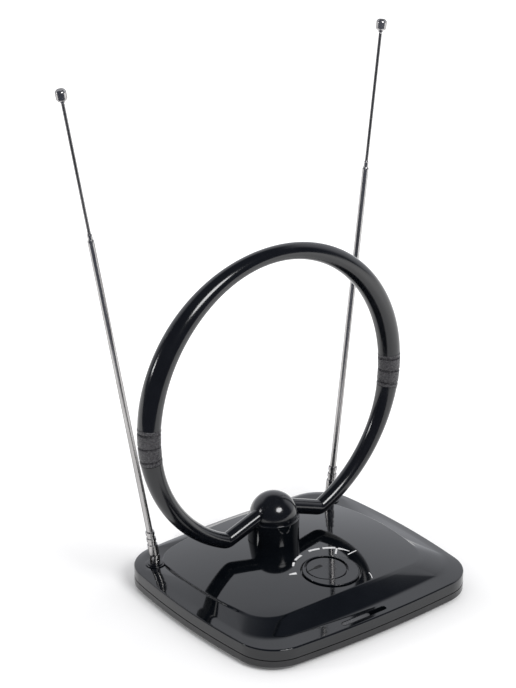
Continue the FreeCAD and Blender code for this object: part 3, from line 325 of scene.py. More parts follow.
BASE_WIDE, BASE_DEEP, BASE_CORNER, LIP_INSET = 89.0, 79.3, 26.7, 2.4
BEVEL_WIDE, BEVEL_DEEP, BEVEL_CORNER, BEVEL_BACK = 83.0, 71.65, 24.0, 3.95
PLATEAU_WIDE, PLATEAU_DEEP, PLATEAU_CORNER, PLATEAU_BACK = 72.8, 62.65, 23.0, 7.15
BOTTOM, EDGE, BEVEL_FOOT, STEP = 8.1, 15.3, 16.4, 1.3
wall_plan = outline(BASE_WIDE, BASE_DEEP, BASE_CORNER)
lip_plan = outline(BASE_WIDE, BASE_DEEP, BASE_CORNER, inset=LIP_INSET)
bevel_plan = outline(BEVEL_WIDE, BEVEL_DEEP, BEVEL_CORNER, BEVEL_BACK)
step_plan = outline(PLATEAU_WIDE, PLATEAU_DEEP, PLATEAU_CORNER, PLATEAU_BACK, PLATEAU_BULGE)
plateau_middle = np.array([0.0, PLATEAU_BACK])

# the plateau stands a step above the bevel at the sides and rear, which fades to a soft fold along the front
FOLD_START, FOLD_LONG, FOLD_STEP, FOLD_OUT, FOLD_IN, RIM_INSET = -12.0, 26.0, 0.1, 0.10, 0.9, 2.0
fold = np.clip((FOLD_START - step_plan[:, 1:]) / FOLD_LONG, 0.0, 1.0)
fold = fold**2 * (3 - 2 * fold)
bevel_ring = at_height(bevel_plan, BEVEL_FOOT)
step_ring = at_height(step_plan, crown(*step_plan.T) - STEP + (STEP - FOLD_STEP) * fold[:, 0])
step_ring += (bevel_ring - step_ring) * FOLD_OUT * fold
brow_plan = step_plan - facing_out * FOLD_IN * fold
rim_plan = step_plan - facing_out * RIM_INSET

# rings from the lip under the wall to the plateau's rim, each with the rounding of its edge
cover_rings = rounded_run([
    (at_height(lip_plan, BOTTOM), 0.0),
    (at_height(wall_plan, BOTTOM), 0.3),
    (at_height(wall_plan, EDGE), 0.9),
    (bevel_ring, 2.2),
    (step_ring, 0.6),
    (at_height(brow_plan, crown(*brow_plan.T)), 0.7),
    (at_height(rim_plan, crown(*rim_plan.T)), 0.0),
])
ring_size = len(wall_plan)
cover_points = [p for ring in cover_rings for p in ring]
cover_faces = join_rings(0, len(cover_rings), ring_size)
rim_start = len(cover_points) - ring_size

# the flange's flat strip, between an outer and an inner ring, is opened at the front for the indicator slot
SLOT_LEFT, SLOT_RIGHT, SLOT_Y, SLOT_HALF = -25.3, 9.3, -73.9, 1.85
SLOT_DEEP, SLOT_EDGE, SLOT_ROUND, SLOT_FLOOR_INSET, SLOT_ROOM, SLOT_STEPS = 3.2, 0.3, 0.15, 1.0, 6.0, 16
STRIP_OUTER, STRIP_INNER = 16, 17
outer_strip, inner_strip = cover_rings[STRIP_OUTER], cover_rings[STRIP_INNER]
outer_start, inner_start = STRIP_OUTER * ring_size, STRIP_INNER * ring_size
strip = [
    j for j, (x, y, _) in enumerate(inner_strip)
    if y < 0 and SLOT_LEFT - SLOT_ROOM < x < SLOT_RIGHT + SLOT_ROOM
]
opened = range(outer_start + strip[0], outer_start + strip[-1])
cover_faces = [face for i, face in enumerate(cover_faces) if i not in opened]


def slot_ring(grow, drop):
    """Oblong with round ends on the flange, or sunk below it, as points."""
    half_turn = np.linspace(-math.pi / 2, math.pi / 2, SLOT_STEPS)
    radius = SLOT_HALF + grow
    right = np.c_[SLOT_RIGHT - SLOT_HALF + radius * np.cos(half_turn), SLOT_Y + radius * np.sin(half_turn)]
    left = np.c_[SLOT_LEFT + SLOT_HALF - radius * np.cos(half_turn), SLOT_Y - radius * np.sin(half_turn)]
    plan = np.vstack([right, left])
    outer_y, outer_z, inner_y, inner_z = (
        np.interp(plan[:, 0], edge[strip][:, 0], edge[strip][:, axis])
        for edge in (outer_strip, inner_strip) for axis in (1, 2)
    )
    rise = outer_z + (plan[:, 1] - outer_y) / (inner_y - outer_y) * (inner_z - outer_z)
    return at_height(plan, rise - drop)


slot_rings = rounded_run([
    (slot_ring(SLOT_EDGE, 0.0), 0.0),
    (slot_ring(0.0, 0.0), SLOT_ROUND),
    (slot_ring(0.0, SLOT_DEEP), SLOT_ROUND),
    (slot_ring(-SLOT_FLOOR_INSET, SLOT_DEEP), 0.0),
])
slot_size = 2 * SLOT_STEPS
slot_start = len(cover_points)
cover_points += [p for ring in slot_rings for p in ring]
cover_faces += join_rings(slot_start, len(slot_rings), slot_size)
cover_faces.append(tuple(range(len(cover_points) - slot_size, len(cover_points))))
strip_index = [outer_start + j for j in strip] + [inner_start + j for j in reversed(strip)]
strip_index += range(slot_start, slot_start + slot_size)
strip_plan = np.array([cover_points[i][:2] for i in strip_index])
around = 2 * len(strip)
cover_faces += fill_plan(
    strip_plan, strip_index, [(0, around), (around, slot_size)],
    [(len(strip), around), (around, around + slot_size)],
)

# the dial's recess, on a plane that leans with the crown
DIAL_CENTRE = Vector((0.0, -32.3, 25.943))
DIAL_AXIS = Vector((0.0, -0.0540, 0.99854))
HOLE_STEPS, HOLE_RADIUS, HOLE_EDGE, HOLE_ROUND, HOLE_FLOOR, RECESS = 144, 19.0, 0.6, 0.3, 6.0, 2.6
turns = np.linspace(0, 2 * math.pi, HOLE_STEPS, endpoint=False)
dial_right, dial_back = np.array([1.0, 0, 0]), np.array([0, DIAL_AXIS.z, -DIAL_AXIS.y])


def dial_ring(radius, rise, shift=(0.0, 0.0)):
    """Circle on the dial's own plane, raised along its axis, as points."""
    sideways = np.outer(radius * np.cos(turns) + shift[0], dial_right)
    backward = np.outer(radius * np.sin(turns) + shift[1], dial_back)
    return np.array(DIAL_CENTRE) + sideways + backward + rise * np.array(DIAL_AXIS)


def on_crown(ring):
    return np.c_[ring[:, :2], crown(ring[:, 0], ring[:, 1])]


hole_rings = rounded_run([
    (on_crown(dial_ring(HOLE_RADIUS + HOLE_EDGE, 0)), 0.0),
    (on_crown(dial_ring(HOLE_RADIUS, 0)), HOLE_ROUND),
    (dial_ring(HOLE_RADIUS, -RECESS), HOLE_ROUND),
    (dial_ring(HOLE_FLOOR, -RECESS), 0.0),
])
hole_start = len(cover_points)
cover_points += [p for ring in hole_rings for p in ring]
cover_faces += join_rings(hole_start, len(hole_rings), HOLE_STEPS)
cover_faces.append(tuple(range(len(cover_points) - HOLE_STEPS, len(cover_points))))

# the crowned plateau between its rim and the recess, filled over a grid of triangles
GRID, GRID_ROW, RIM_CLEAR, HOLE_CLEAR = 2.6, 0.866, 2.0, 1.8
GRID_SIDE, GRID_FRONT, GRID_REAR = 76, -60, 76
grid_x, grid_y = np.meshgrid(
    np.arange(-GRID_SIDE, GRID_SIDE, GRID), np.arange(GRID_FRONT, GRID_REAR, GRID * GRID_ROW))
grid_x[1::2] += GRID / 2
grid = np.c_[grid_x.ravel(), grid_y.ravel()]
rim_turn = np.arctan2(*(rim_plan - plateau_middle).T[::-1])
rim_order = np.argsort(rim_turn)
rim_reach = np.linalg.norm(rim_plan - plateau_middle, axis=1)
grid_turn = np.arctan2(*(grid - plateau_middle).T[::-1])
room = np.interp(grid_turn, rim_turn[rim_order], rim_reach[rim_order], period=2 * math.pi)
clear_of_rim = np.linalg.norm(grid - plateau_middle, axis=1) < room - RIM_CLEAR
clear_of_hole = np.linalg.norm(grid - np.array(DIAL_CENTRE[:2]), axis=1) > HOLE_RADIUS + HOLE_CLEAR
grid = grid[clear_of_rim & clear_of_hole]
plateau_plan = np.vstack([rim_plan, hole_rings[0][:, :2], grid])
plateau_index = [*range(rim_start, rim_start + ring_size), *range(hole_start, hole_start + HOLE_STEPS)]
plateau_index += range(len(cover_points), len(cover_points) + len(grid))
cover_points += list(at_height(grid, crown(*grid.T)))
cover_faces += fill_plan(
    plateau_plan, plateau_index, [(0, ring_size), (ring_size, HOLE_STEPS)],
    [(ring_size, ring_size + HOLE_STEPS)],
)
make_piece(
    "upper_cover", cover_points, cover_faces, gloss_black, "base", "gloss_black", ["base_upper_cover"])


# Base: lower tray, feet and screws
# Black moulded tray that closes the cover from below, four soft feet pressed into it, and plated screws that
# go up through it into the cover. The CAD shapes are kept; they get their finishes here.


def dress(material, *names):
    """Gives kept CAD nodes their finish."""
    for name in names:
        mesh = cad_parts[name].data
        mesh.materials.clear()
        mesh.materials.append(material)


tray_black = finish_of(
    "tray_black_plastic", (0.008, 0.008, 0.009), (0.016, 0.016, 0.017), 90, (0.10, 0.18), 0.05, 0.00005)
dress(tray_black, "base_lower_tray")
rubber = finish_of(
    "soft_foot_rubber", (0.015, 0.015, 0.016), (0.035, 0.034, 0.034), 700, (0.7, 0.9), 0.3, 0.0001)
dress(rubber, "foot_front_left", "foot_front_right", "foot_rear_left", "foot_rear_right")
plated = finish_of(
    "zinc_plated_steel", (0.42, 0.42, 0.40), (0.62, 0.61, 0.58), 500, (0.25, 0.42), 0.1, 0.00003, 1.0)
dress(plated, "shell_screws", "board_screws")
for side in ("left", "right"):
    dress(plated, f"{side}_keeper_screw", f"{side}_keeper_washer")


# Dial
# Flat black knob sunk in the plateau's round recess: a rim, then a fine groove round an off-centre shallow
# dish with a dark pointer. A white scale is printed round it on the plateau. It presses onto the shaft.

KNOB, KNOB_UNDER, KNOB_FLOOR, PROUD = 17.9, 12.0, -2.2, 0.5
DISH, DISH_SHIFT, DISH_DEPTH, DISH_MIDDLE = 13.8, (-0.7, 3.6), 0.5, 4.0
MOAT, MOAT_OUTER, MOAT_INNER, DISH_EDGE = 1.6, 0.1, 1.1, 1.3
dish_level = PROUD - DISH_DEPTH
knob_rings = rounded_run([
    (dial_ring(KNOB_UNDER, KNOB_FLOOR), 0.0),
    (dial_ring(KNOB, KNOB_FLOOR), 0.3),
    (dial_ring(KNOB, PROUD), 0.45),
    (dial_ring(DISH, PROUD, DISH_SHIFT), 0.2),
    (dial_ring(DISH - MOAT_OUTER, PROUD - MOAT, DISH_SHIFT), 0.1),
    (dial_ring(DISH - MOAT_INNER, PROUD - MOAT, DISH_SHIFT), 0.1),
    (dial_ring(DISH - DISH_EDGE, dish_level, DISH_SHIFT), 0.25),
    (dial_ring(DISH_MIDDLE, dish_level, DISH_SHIFT), 0.0),
])
knob_points = [p for ring in knob_rings for p in ring]
knob_faces = join_rings(0, len(knob_rings), HOLE_STEPS)
knob_faces.append(tuple(range(len(knob_points) - HOLE_STEPS, len(knob_points))))
knob_faces.append(tuple(reversed(range(HOLE_STEPS))))
make_piece("dial_knob", knob_points, knob_faces, gloss_black, "gain_dial", "gloss_black", ["gain_knob"])
dress(plated, "gain_shaft")


def slab_faces(first, count):
    """Faces of a slab whose two like outlines of so many points follow each other."""
    faces = [tuple(range(first, first + count)), tuple(reversed(range(first + count, first + 2 * count)))]
    for j in range(count):
        here, after = first + j, first + (j + 1) % count
        faces.append((here, here + count, after + count, after))
    return faces


groove_black = finish_of("groove_matt_black", (0.002, 0.002, 0.002), (0.004, 0.004, 0.004), 400, (0.5, 0.7))
# outline of the pointer on the dial's plane: a sharp outer end that widens to a blunt inner end
pointer = [
    (-12.9, 7.25), (-12.6, 7.0), (-7.0, 7.1), (-5.8, 6.5), (-1.4, 6.6), (-0.9, 7.2), (-1.0, 8.9),
    (-1.5, 9.4), (-6.0, 9.0), (-7.1, 8.3), (-12.6, 7.6),
]
POINTER_PROUD, POINTER_SUNK = 0.03, 0.4
pointer_points = [
    DIAL_CENTRE + DIAL_AXIS * rise + Vector(dial_right) * px + Vector(dial_back) * py
    for rise in (dish_level + POINTER_PROUD, dish_level - POINTER_SUNK) for px, py in pointer
]
make_piece(
    "dial_pointer", pointer_points, slab_faces(0, len(pointer)), groove_black, "gain_dial", "satin_black")

white_ink = finish_of("white_print", (0.64, 0.64, 0.65), (0.80, 0.80, 0.80), 900, (0.45, 0.6), 0.1, 0.00002)
ink_points, ink_faces = [], []
INK = 0.04
PRINT_MIDDLE, PRINT_STEPS = Vector((4.3, -29.3)), 12
# start and end radius, start and end angle about the print's own middle, start and end width
marks = [
    (25.0, 24.8, 143, 132, 1.3, 1.5), (24.6, 23.8, 126, 108, 1.6, 1.8), (23.8, 23.6, 91, 72, 2.0, 2.0),
    (23.6, 24.0, 67, 47, 2.1, 2.2), (23.7, 22.9, 43, 24, 2.2, 0.7), (16.0, 23.6, 45, 45, 1.1, 1.1),
    (18.6, 26.6, 20, 17, 0.9, 0.9), (24.6, 29.4, 163, 162, 2.6, 1.0), (22.6, 26.4, -50, -63, 0.5, 0.4),
]
for near, far, start, end, wide, taper in marks:
    first = len(ink_points)
    spots = []
    for i in range(PRINT_STEPS + 1):
        share = i / PRINT_STEPS
        angle, radius = math.radians(start + (end - start) * share), near + (far - near) * share
        spots.append(PRINT_MIDDLE + radius * Vector((math.cos(angle), math.sin(angle))))
    for i, spot in enumerate(spots):
        along = spots[min(i + 1, PRINT_STEPS)] - spots[max(i - 1, 0)]
        across = Vector((-along.y, along.x)).normalized() * (wide + (taper - wide) * i / PRINT_STEPS) / 2
        for edge in (spot + across, spot - across):
            ink_points.append((edge.x, edge.y, crown(edge.x, edge.y) + INK))
    for i in range(PRINT_STEPS):
        a = first + 2 * i
        ink_faces.append((a, a + 1, a + 3, a + 2))
make_piece("dial_scale_print", ink_points, ink_faces, white_ink, "base", "gloss_black")


# Front indicator
# Slim slot in the front flange: a smoked clear plastic lens set into its left part over a small green light,
# the rest open. Both are kept CAD shapes.

smoked = finish_of(
    "smoked_lens", (0.022, 0.022, 0.024), (0.034, 0.034, 0.036), 300, (0.12, 0.2), 0.02, 0.00003)
dress(smoked, "indicator_lens")
green = finish_of("green_light", (0.03, 0.20, 0.06), (0.05, 0.30, 0.09), 600, (0.2, 0.3))
dress(green, "power_light")


# Post and dome cap
# Round hollow post moulded in black and seated on the plateau behind the dial, with a ball-shaped cap on it.
# The ends of the ring pass through notches between the two.

POST_Y = 25.7
POLE = 1e-6


def turn_piece(profile, place, steps=96):
    """Points and faces of a turned shape; profile is (radius, height) from its lower to its upper end."""
    points, faces, rings = [], [], []
    for radius, rise in profile:
        if radius < POLE:
            rings.append([len(points)])
            points.append(place @ Vector((0, 0, rise)))
            continue
        rings.append(list(range(len(points), len(points) + steps)))
        for j in range(steps):
            a = 2 * math.pi * j / steps
            points.append(place @ Vector((radius * math.cos(a), radius * math.sin(a), rise)))
    for a, b in zip(rings, rings[1:]):
        for j in range(steps):
            k = (j + 1) % steps
            if len(a) == 1:
                faces.append((a[0], b[k], b[j]))
            elif len(b) == 1:
                faces.append((a[j], a[k], b[0]))
            else:
                faces.append((a[j], a[k], b[k], b[j]))
    return points, faces


# a turned corner's rounding and the guard point past it take at most these shares of a side
TURN_SHARE, TURN_GUARD_SHARE, TURN_GUARD = 0.45, 0.48, 1.5


def soften(corners, steps=5):
    """Profile with each (radius, height, rounding) corner turned, with guard points beside every bend."""
    run = [corners[0][:2]]
    for before, here, after in zip(corners, corners[1:], corners[2:]):
        here_at = Vector(here[:2])
        back, ahead = Vector(before[:2]) - here_at, Vector(after[:2]) - here_at
        rounding = here[2]
        start = here_at + back * min(rounding / back.length, TURN_SHARE)
        end = here_at + ahead * min(rounding / ahead.length, TURN_SHARE)
        run.append(tuple(here_at + back * min(TURN_GUARD * rounding / back.length, TURN_GUARD_SHARE)))
        for i in range(steps):
            t = i / (steps - 1)
            run.append(tuple((1 - t) ** 2 * start + 2 * t * (1 - t) * here_at + t**2 * end))
        run.append(tuple(here_at + ahead * min(TURN_GUARD * rounding / ahead.length, TURN_GUARD_SHARE)))
    run.append(corners[-1][:2])
    return run


POST, POST_INSIDE, POST_FOOT, POST_TOP = 16.6, 13.0, 25.0, 40.8
post_place = Matrix.Translation((0.0, POST_Y, 0.0))
post_profile = soften([
    (POST_INSIDE, POST_FOOT, 0), (POST, POST_FOOT, 0.1), (POST, POST_TOP, 0.9), (POST_INSIDE, POST_TOP, 0),
])
post = turn_piece(post_profile, post_place)
make_piece("ring_post", *post, gloss_black, "base", "gloss_black", ["loop_post"])

# the cap and the ring have a slightly softer gloss than the base
ring_black = finish_of(
    "ring_black_plastic", (0.0022, 0.0027, 0.0040), (0.0040, 0.0046, 0.0064), 60, (0.13, 0.18),
    0.015, 0.00004, ior=1.57,
)
DOME, DOME_MIDDLE, DOME_START, DOME_STEPS = 15.3, 41.7, -0.06, 40
DOME_UNDER, DOME_LIP, DOME_LIP_HEIGHT = 39.6, 15.25, 40.2
dome_profile = [(POST_INSIDE, DOME_UNDER), (DOME_LIP, DOME_LIP_HEIGHT)]
for angle in np.linspace(DOME_START, math.pi / 2, DOME_STEPS)[:-1]:
    dome_profile.append((DOME * math.cos(angle), DOME_MIDDLE + DOME * math.sin(angle)))
dome_profile.append((0.0, DOME_MIDDLE + DOME))
dome = turn_piece(dome_profile, post_place)
make_piece("dome_cap_ball", *dome, ring_black, "base", "gloss_black", ["dome_cap"])


# Ring
# Upright ring of thick moulded tube round a wire: an upper arc and two lower arms that bend in at elbows and
# rise into the dome. A grooved sleeve covers each joint. The tubes follow their path by Geometry Nodes.

RING, RING_TALL, RING_HEIGHT, RING_FACETS = 95.0, 96.1, 122.6, 64
CREST_TUBE, SHOULDER_TUBE, COLLAR_TUBE, ELBOW_TUBE, ELBOW_BEND = 5.2, 7.5, 7.05, 5.0, 5.6
COLLAR_DROP, COLLAR_LONG, COLLAR_PROUD = 4.6, 23.0, 0.15
ELBOW_X, ARM_X, ARM_Z, ARM_SHARES = 37.6, 9.0, 44.8, (0.05, 0.35, 0.65, 1.0)

tube_tree = bpy.data.node_groups.new("tube_along_path", "GeometryNodeTree")
tube_tree.interface.new_socket("Path", in_out="INPUT", socket_type="NodeSocketGeometry")
facets_socket = tube_tree.interface.new_socket("Facets", in_out="INPUT", socket_type="NodeSocketInt")
finish_socket = tube_tree.interface.new_socket("Finish", in_out="INPUT", socket_type="NodeSocketMaterial")
tube_tree.interface.new_socket("Tube", in_out="OUTPUT", socket_type="NodeSocketGeometry")
tube_in = add_node(tube_tree, "NodeGroupInput")
path = add_node(tube_tree, "GeometryNodeMeshToCurve", {"Mesh": tube_in.outputs["Path"]})
thickness = add_node(
    tube_tree, "GeometryNodeInputNamedAttribute", {"Name": "tube_radius"}, data_type="FLOAT")
section = add_node(
    tube_tree, "GeometryNodeCurvePrimitiveCircle", {"Radius": 1.0, "Resolution": tube_in.outputs["Facets"]})
swept = add_node(tube_tree, "GeometryNodeCurveToMesh", {
    "Curve": path.outputs["Curve"],
    "Profile Curve": section.outputs["Curve"],
    "Scale": thickness.outputs["Attribute"],
    "Fill Caps": True,
})
real = add_node(tube_tree, "GeometryNodeRealizeInstances", {"Geometry": swept.outputs["Mesh"]})
painted = add_node(
    tube_tree, "GeometryNodeSetMaterial",
    {"Geometry": real.outputs["Geometry"], "Material": tube_in.outputs["Finish"]},
)
add_node(tube_tree, "NodeGroupOutput", {"Tube": painted.outputs["Geometry"]})


def tube_piece(name, run, material, replaced, sharp=40.0):
    """Round tube along a run of (point, radius) in millimetres, as a piece of the base."""
    line = bpy.data.meshes.new(name + "_path")
    edges = [(i, i + 1) for i in range(len(run) - 1)]
    line.from_pydata([tuple(float(v) * MM for v in spot) for spot, _ in run], edges, [])
    width = line.attributes.new("tube_radius", "FLOAT", "POINT")
    width.data.foreach_set("value", [float(radius) * MM for _, radius in run])
    guide = bpy.data.objects.new(name + "_path", line)
    bpy.context.collection.objects.link(guide)
    modifier = guide.modifiers.new("tube", "NODES")
    modifier.node_group = tube_tree
    modifier[facets_socket.identifier] = RING_FACETS
    modifier[finish_socket.identifier] = material
    depsgraph = bpy.context.evaluated_depsgraph_get()
    mesh = bpy.data.meshes.new_from_object(guide.evaluated_get(depsgraph), depsgraph=depsgraph)
    bpy.data.objects.remove(guide)
    bpy.data.meshes.remove(line)
    mesh.name = name
    add_piece(name, mesh, "base", replaced, sharp)


def on_ring(angle):
    return Vector((RING * math.cos(angle), POST_Y, RING_HEIGHT + RING_TALL * math.sin(angle)))


collar_angle = math.asin(COLLAR_DROP / RING)
collar_half = math.asin(COLLAR_LONG / 2 / RING)
elbow_angle = math.acos(ELBOW_X / RING)
collar_spread = SHOULDER_TUBE - COLLAR_TUBE
collar_top, collar_bottom = COLLAR_TUBE + collar_spread / 2, COLLAR_TUBE - collar_spread / 2
upper_start = collar_half - collar_angle
lower_start = collar_half + collar_angle

# tube radius against the angle down from the ring's top, and against the share of the way to the elbow
TUBE_RULE, UPPER_STEPS, LOWER_STEPS, BEND_STEPS = 4, 240, 90, 14
down_from_top = np.radians([0, 15, 30, 45, 60, 75]).tolist() + [math.pi / 2 - upper_start]
upper_share = np.array([0, 0.14, 0.45, 0.78, 0.97, 1.0])
upper_radii = (CREST_TUBE + upper_share * (SHOULDER_TUBE - CREST_TUBE)).tolist() + [collar_top]
upper_rule = np.polyfit(np.square(down_from_top), upper_radii, TUBE_RULE)
lower_share = np.array([0, 0.40, 0.66, 0.86, 1.0])
lower_radii = collar_bottom + lower_share * (ELBOW_TUBE - collar_bottom)
lower_rule = np.polyfit(np.linspace(0, 1, len(lower_share)), lower_radii, TUBE_RULE)

upper_angles = np.linspace(upper_start, math.pi - upper_start, UPPER_STEPS)
upper_run = [(on_ring(a), np.polyval(upper_rule, (a - math.pi / 2) ** 2)) for a in upper_angles]
tube_piece("ring_upper_arc", upper_run, ring_black, ["loop_upper_arc"])

elbow = on_ring(-elbow_angle)
arm_end = Vector((ARM_X, POST_Y, ARM_Z))
into_dome = (arm_end - elbow).normalized()
down_ring = Vector((-RING * math.sin(elbow_angle), 0.0, -RING_TALL * math.cos(elbow_angle)))
bend_reach = ELBOW_BEND * math.tan(down_ring.angle(into_dome) / 2)
last_angle = elbow_angle - bend_reach / RING
lower_run = []
for share in np.linspace(0, 1, LOWER_STEPS).tolist():
    angle = lower_start + share * (last_angle - lower_start)
    way_down = (angle - lower_start) / (elbow_angle - lower_start)
    lower_run.append((on_ring(-angle), np.polyval(lower_rule, way_down)))
bend_start, bend_end = lower_run[-1][0], elbow + into_dome * bend_reach
for t in np.linspace(0, 1, BEND_STEPS)[1:].tolist():
    bend_spot = (1 - t) ** 2 * bend_start + 2 * t * (1 - t) * elbow + t * t * bend_end
    lower_run.append((bend_spot, ELBOW_TUBE))
lower_run += [(bend_end.lerp(arm_end, t), ELBOW_TUBE) for t in ARM_SHARES]

# the sleeve's section along its length: how far its surface is sunk at its ends and at three grooves
GROOVE_PITCH, GROOVE_SINK = 8.6, 0.9
groove_shape = (
    (-1.4, 0), (-1.0, 0), (-0.8, 0.06), (-0.62, 0.25), (-0.52, GROOVE_SINK),
    (0.52, GROOVE_SINK), (0.62, 0.25), (0.8, 0.06), (1.0, 0), (1.4, 0),
)
collar_end = ((10.6, 0), (11.0, 0), (11.3, 0.15), (11.45, 0.5), (11.5, 0.9))
collar_shape = [(-along, sink) for along, sink in reversed(collar_end)]
for middle in (-GROOVE_PITCH, 0.0, GROOVE_PITCH):
    collar_shape += [(middle + shift, sink) for shift, sink in groove_shape]
collar_shape += collar_end
collar_run = []
for along, sink in collar_shape:
    full = COLLAR_TUBE + collar_spread * along / COLLAR_LONG + COLLAR_PROUD
    collar_run.append((on_ring(-collar_angle + along / RING), full - sink))


def mirrored_run(run, sign):
    return [(Vector((sign * spot.x, spot.y, spot.z)), radius) for spot, radius in run]


COLLAR_SHARP = 50.0
collar_black = finish_of(
    "collar_black", (0.026, 0.025, 0.028), (0.064, 0.062, 0.067), 760, (0.14, 0.40), 1.0, 0.0006)
for side, sign in (("left", -1), ("right", 1)):
    arm_run, sleeve_run = mirrored_run(lower_run, sign), mirrored_run(collar_run, sign)
    tube_piece(f"ring_{side}_arm", arm_run, ring_black, [f"loop_{side}_arm"])
    tube_piece(
        f"ring_{side}_collar", sleeve_run, collar_black, [f"loop_{side}_collar"],
        COLLAR_SHARP,
    )
aluminium = finish_of(
    "bare_aluminium", (0.55, 0.55, 0.56), (0.72, 0.72, 0.73), 300, (0.3, 0.45), 0.1, 0.00003, 1.0)
dress(aluminium, "loop_conductor")


# Telescopic rods
# Each rod stands on a black turret at a rear corner: a plated fork swivels in the turret, a pin carries the
# turned ferrule, and three nested plated brass stages slide out of it, ending in a knob.

ALONG_THE_ROD = (1, 1, 0.05)
chrome = finish_of(
    "bright_plating", (0.42, 0.41, 0.405), (0.54, 0.53, 0.525), 250, (0.18, 0.28), 0.04, 0.00002, 1.0,
    stretch=ALONG_THE_ROD, edge=0.12,
)
dull_chrome = finish_of(
    "dull_plating", (0.24, 0.235, 0.23), (0.32, 0.315, 0.31), 250, (0.22, 0.32), 0.04, 0.00002, 1.0,
    stretch=ALONG_THE_ROD, edge=0.08,
)
ROD_X, ROD_Y, HINGE_HEIGHT = 71.8, 55.8, 20.7
# turned profiles as (radius, height, rounding), the turret's from the floor and the others' along the rod
turret_profile = soften([
    (2.4, 15.0, 0), (6.2, 15.0, 0.1), (6.2, 17.1, 0.35), (4.9, 17.1, 0.1), (4.9, 17.7, 0.25), (2.4, 17.7, 0),
])
ferrule_profile = soften([
    (0.0, 3.5, 0), (3.25, 3.5, 0.3), (3.25, 11.0, 0.5), (2.6, 11.0, 0.1), (2.6, 13.4, 0.1),
    (3.0, 13.4, 0.15), (3.0, 15.75, 0.15), (2.42, 15.75, 0.1), (2.42, 18.1, 0.1), (2.82, 18.1, 0.12),
    (2.82, 20.5, 0.2), (1.9, 20.5, 0),
])
tip_profile = soften([
    (0.0, 314.5, 0), (1.5, 314.5, 0.1), (1.5, 315.9, 0.1), (2.55, 315.9, 0.2), (3.25, 316.8, 0.3),
    (3.25, 321.3, 0.5), (2.25, 322.5, 0.4), (0.0, 322.5, 0),
])
TONGUE, TONGUE_HALF, TONGUE_TOP, TONGUE_STEPS = 2.3, 1.1, 3.7, 13
tongue_turns = np.linspace(math.pi, 2 * math.pi, TONGUE_STEPS)
tongue = [(TONGUE * math.cos(a), TONGUE * math.sin(a)) for a in tongue_turns]
tongue += [(TONGUE, TONGUE_TOP), (-TONGUE, TONGUE_TOP)]
STAGE_SPANS, STAGE_MOUTH, STAGE_ROUND, STAGE_LIP, LIP_WALL, LIP_DROP = 24, 1.0, 0.05, 0.4, 0.12, 0.01
TURRET_FACETS, FERRULE_FACETS, STAGE_FACETS, TIP_FACETS = 64, 56, 40, 56


def stage_profile(start, end, radius, bore):
    """Profile of one tube of a rod, in short spans, with its mouth drawn in."""
    shape = [(bore, start, 0), (radius, start, STAGE_ROUND)]
    for i in range(1, STAGE_SPANS):
        shape.append((radius, start + (end - start) * i / STAGE_SPANS, STAGE_ROUND))
    shape += [(radius, end - STAGE_MOUTH, 0.3), (max(bore + LIP_WALL, radius - STAGE_LIP), end, 0.1)]
    shape.append((bore, end - LIP_DROP, 0))
    return soften(shape, 3)


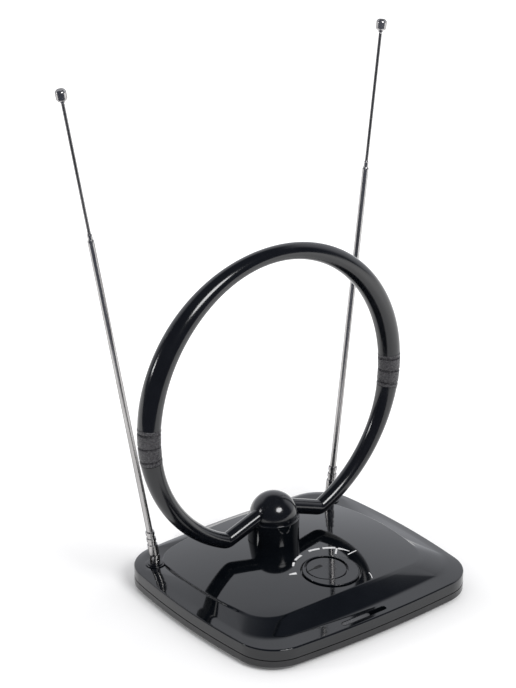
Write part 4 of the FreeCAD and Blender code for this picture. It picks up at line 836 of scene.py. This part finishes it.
for side, sign, lean in (("left", -1, 10.3), ("right", 1, 6.5)):
    foot = Vector((sign * ROD_X, ROD_Y, 0.0))
    upright = Matrix.Translation(foot)
    leaning_by = Matrix.Rotation(math.radians(sign * lean), 4, "Y")
    pivot = Matrix.Translation(foot + Vector((0, 0, HINGE_HEIGHT))) @ leaning_by
    turret = turn_piece(turret_profile, upright, TURRET_FACETS)
    make_piece(f"{side}_turret", *turret, gloss_black, "base", "gloss_black", [f"{side}_bush"])
    dress(chrome, f"{side}_swivel_fork", f"{side}_hinge_pin")
    ferrule_points, ferrule_faces = turn_piece(ferrule_profile, pivot, FERRULE_FACETS)
    ferrule_faces += slab_faces(len(ferrule_points), len(tongue))
    for depth in (-TONGUE_HALF, TONGUE_HALF):
        ferrule_points += [pivot @ Vector((px, depth, pz)) for px, pz in tongue]
    make_piece(
        f"{side}_ferrule", ferrule_points, ferrule_faces, chrome, f"{side}_rod", "rod_chrome",
        [f"{side}_rod_ferrule"],
    )
    for stage, body, start, end, radius, bore, plating, node in (
        ("outer", f"{side}_rod", 6.5, 227.5, 2.0, 1.55, chrome, "outer_tube"),
        ("middle", f"{side}_middle", 23.5, 231.5, 1.5, 1.05, chrome, "middle_tube"),
        ("inner", f"{side}_inner", 106.5, 314.5, 1.0, 0.0, dull_chrome, "inner_rod"),
    ):
        stage_mesh = turn_piece(stage_profile(start, end, radius, bore), pivot, STAGE_FACETS)
        make_piece(f"{side}_{stage}_stage", *stage_mesh, plating, body, "rod_chrome", [f"{side}_{node}"])
    tip = turn_piece(tip_profile, pivot, TIP_FACETS)
    make_piece(f"{side}_tip_knob", *tip, chrome, f"{side}_inner", "rod_chrome", [f"{side}_tip_cap"])


# Rear sockets
# Nickel-plated threaded aerial socket held by a ring nut in the rear wall, and a black power jack beside it.
# Both are kept CAD shapes.

nickel = finish_of(
    "nickel_plate", (0.52, 0.50, 0.46), (0.66, 0.64, 0.60), 400, (0.15, 0.28), 0.06, 0.00003, 1.0)
dress(nickel, "aerial_socket", "aerial_socket_nut")
jack_black = finish_of(
    "jack_black_plastic", (0.010, 0.010, 0.010), (0.020, 0.020, 0.020), 300, (0.35, 0.5), 0.1, 0.00004)
dress(jack_black, "power_jack")


# Inside the base
# Amplifier board screwed to the tray, with its shield can, matching transformer and supply capacitor, and
# the gain control under the plateau. All are kept CAD shapes.

board_green = finish_of(
    "board_green", (0.012, 0.055, 0.022), (0.022, 0.085, 0.035), 160, (0.3, 0.45), 0.05, 0.00003)
dress(board_green, "amplifier_board")
tin = finish_of("tin_plate", (0.50, 0.50, 0.49), (0.66, 0.66, 0.64), 200, (0.25, 0.4), 0.05, 0.00003, 1.0)
dress(tin, "shield_can")
ferrite = finish_of(
    "grey_ferrite", (0.03, 0.03, 0.032), (0.055, 0.055, 0.056), 600, (0.5, 0.7), 0.2, 0.00005)
dress(ferrite, "matching_transformer")
sleeve_dark = finish_of(
    "dark_sleeve", (0.010, 0.011, 0.018), (0.020, 0.021, 0.030), 300, (0.25, 0.4), 0.05, 0.00003)
dress(sleeve_dark, "supply_capacitor", "gain_potentiometer")
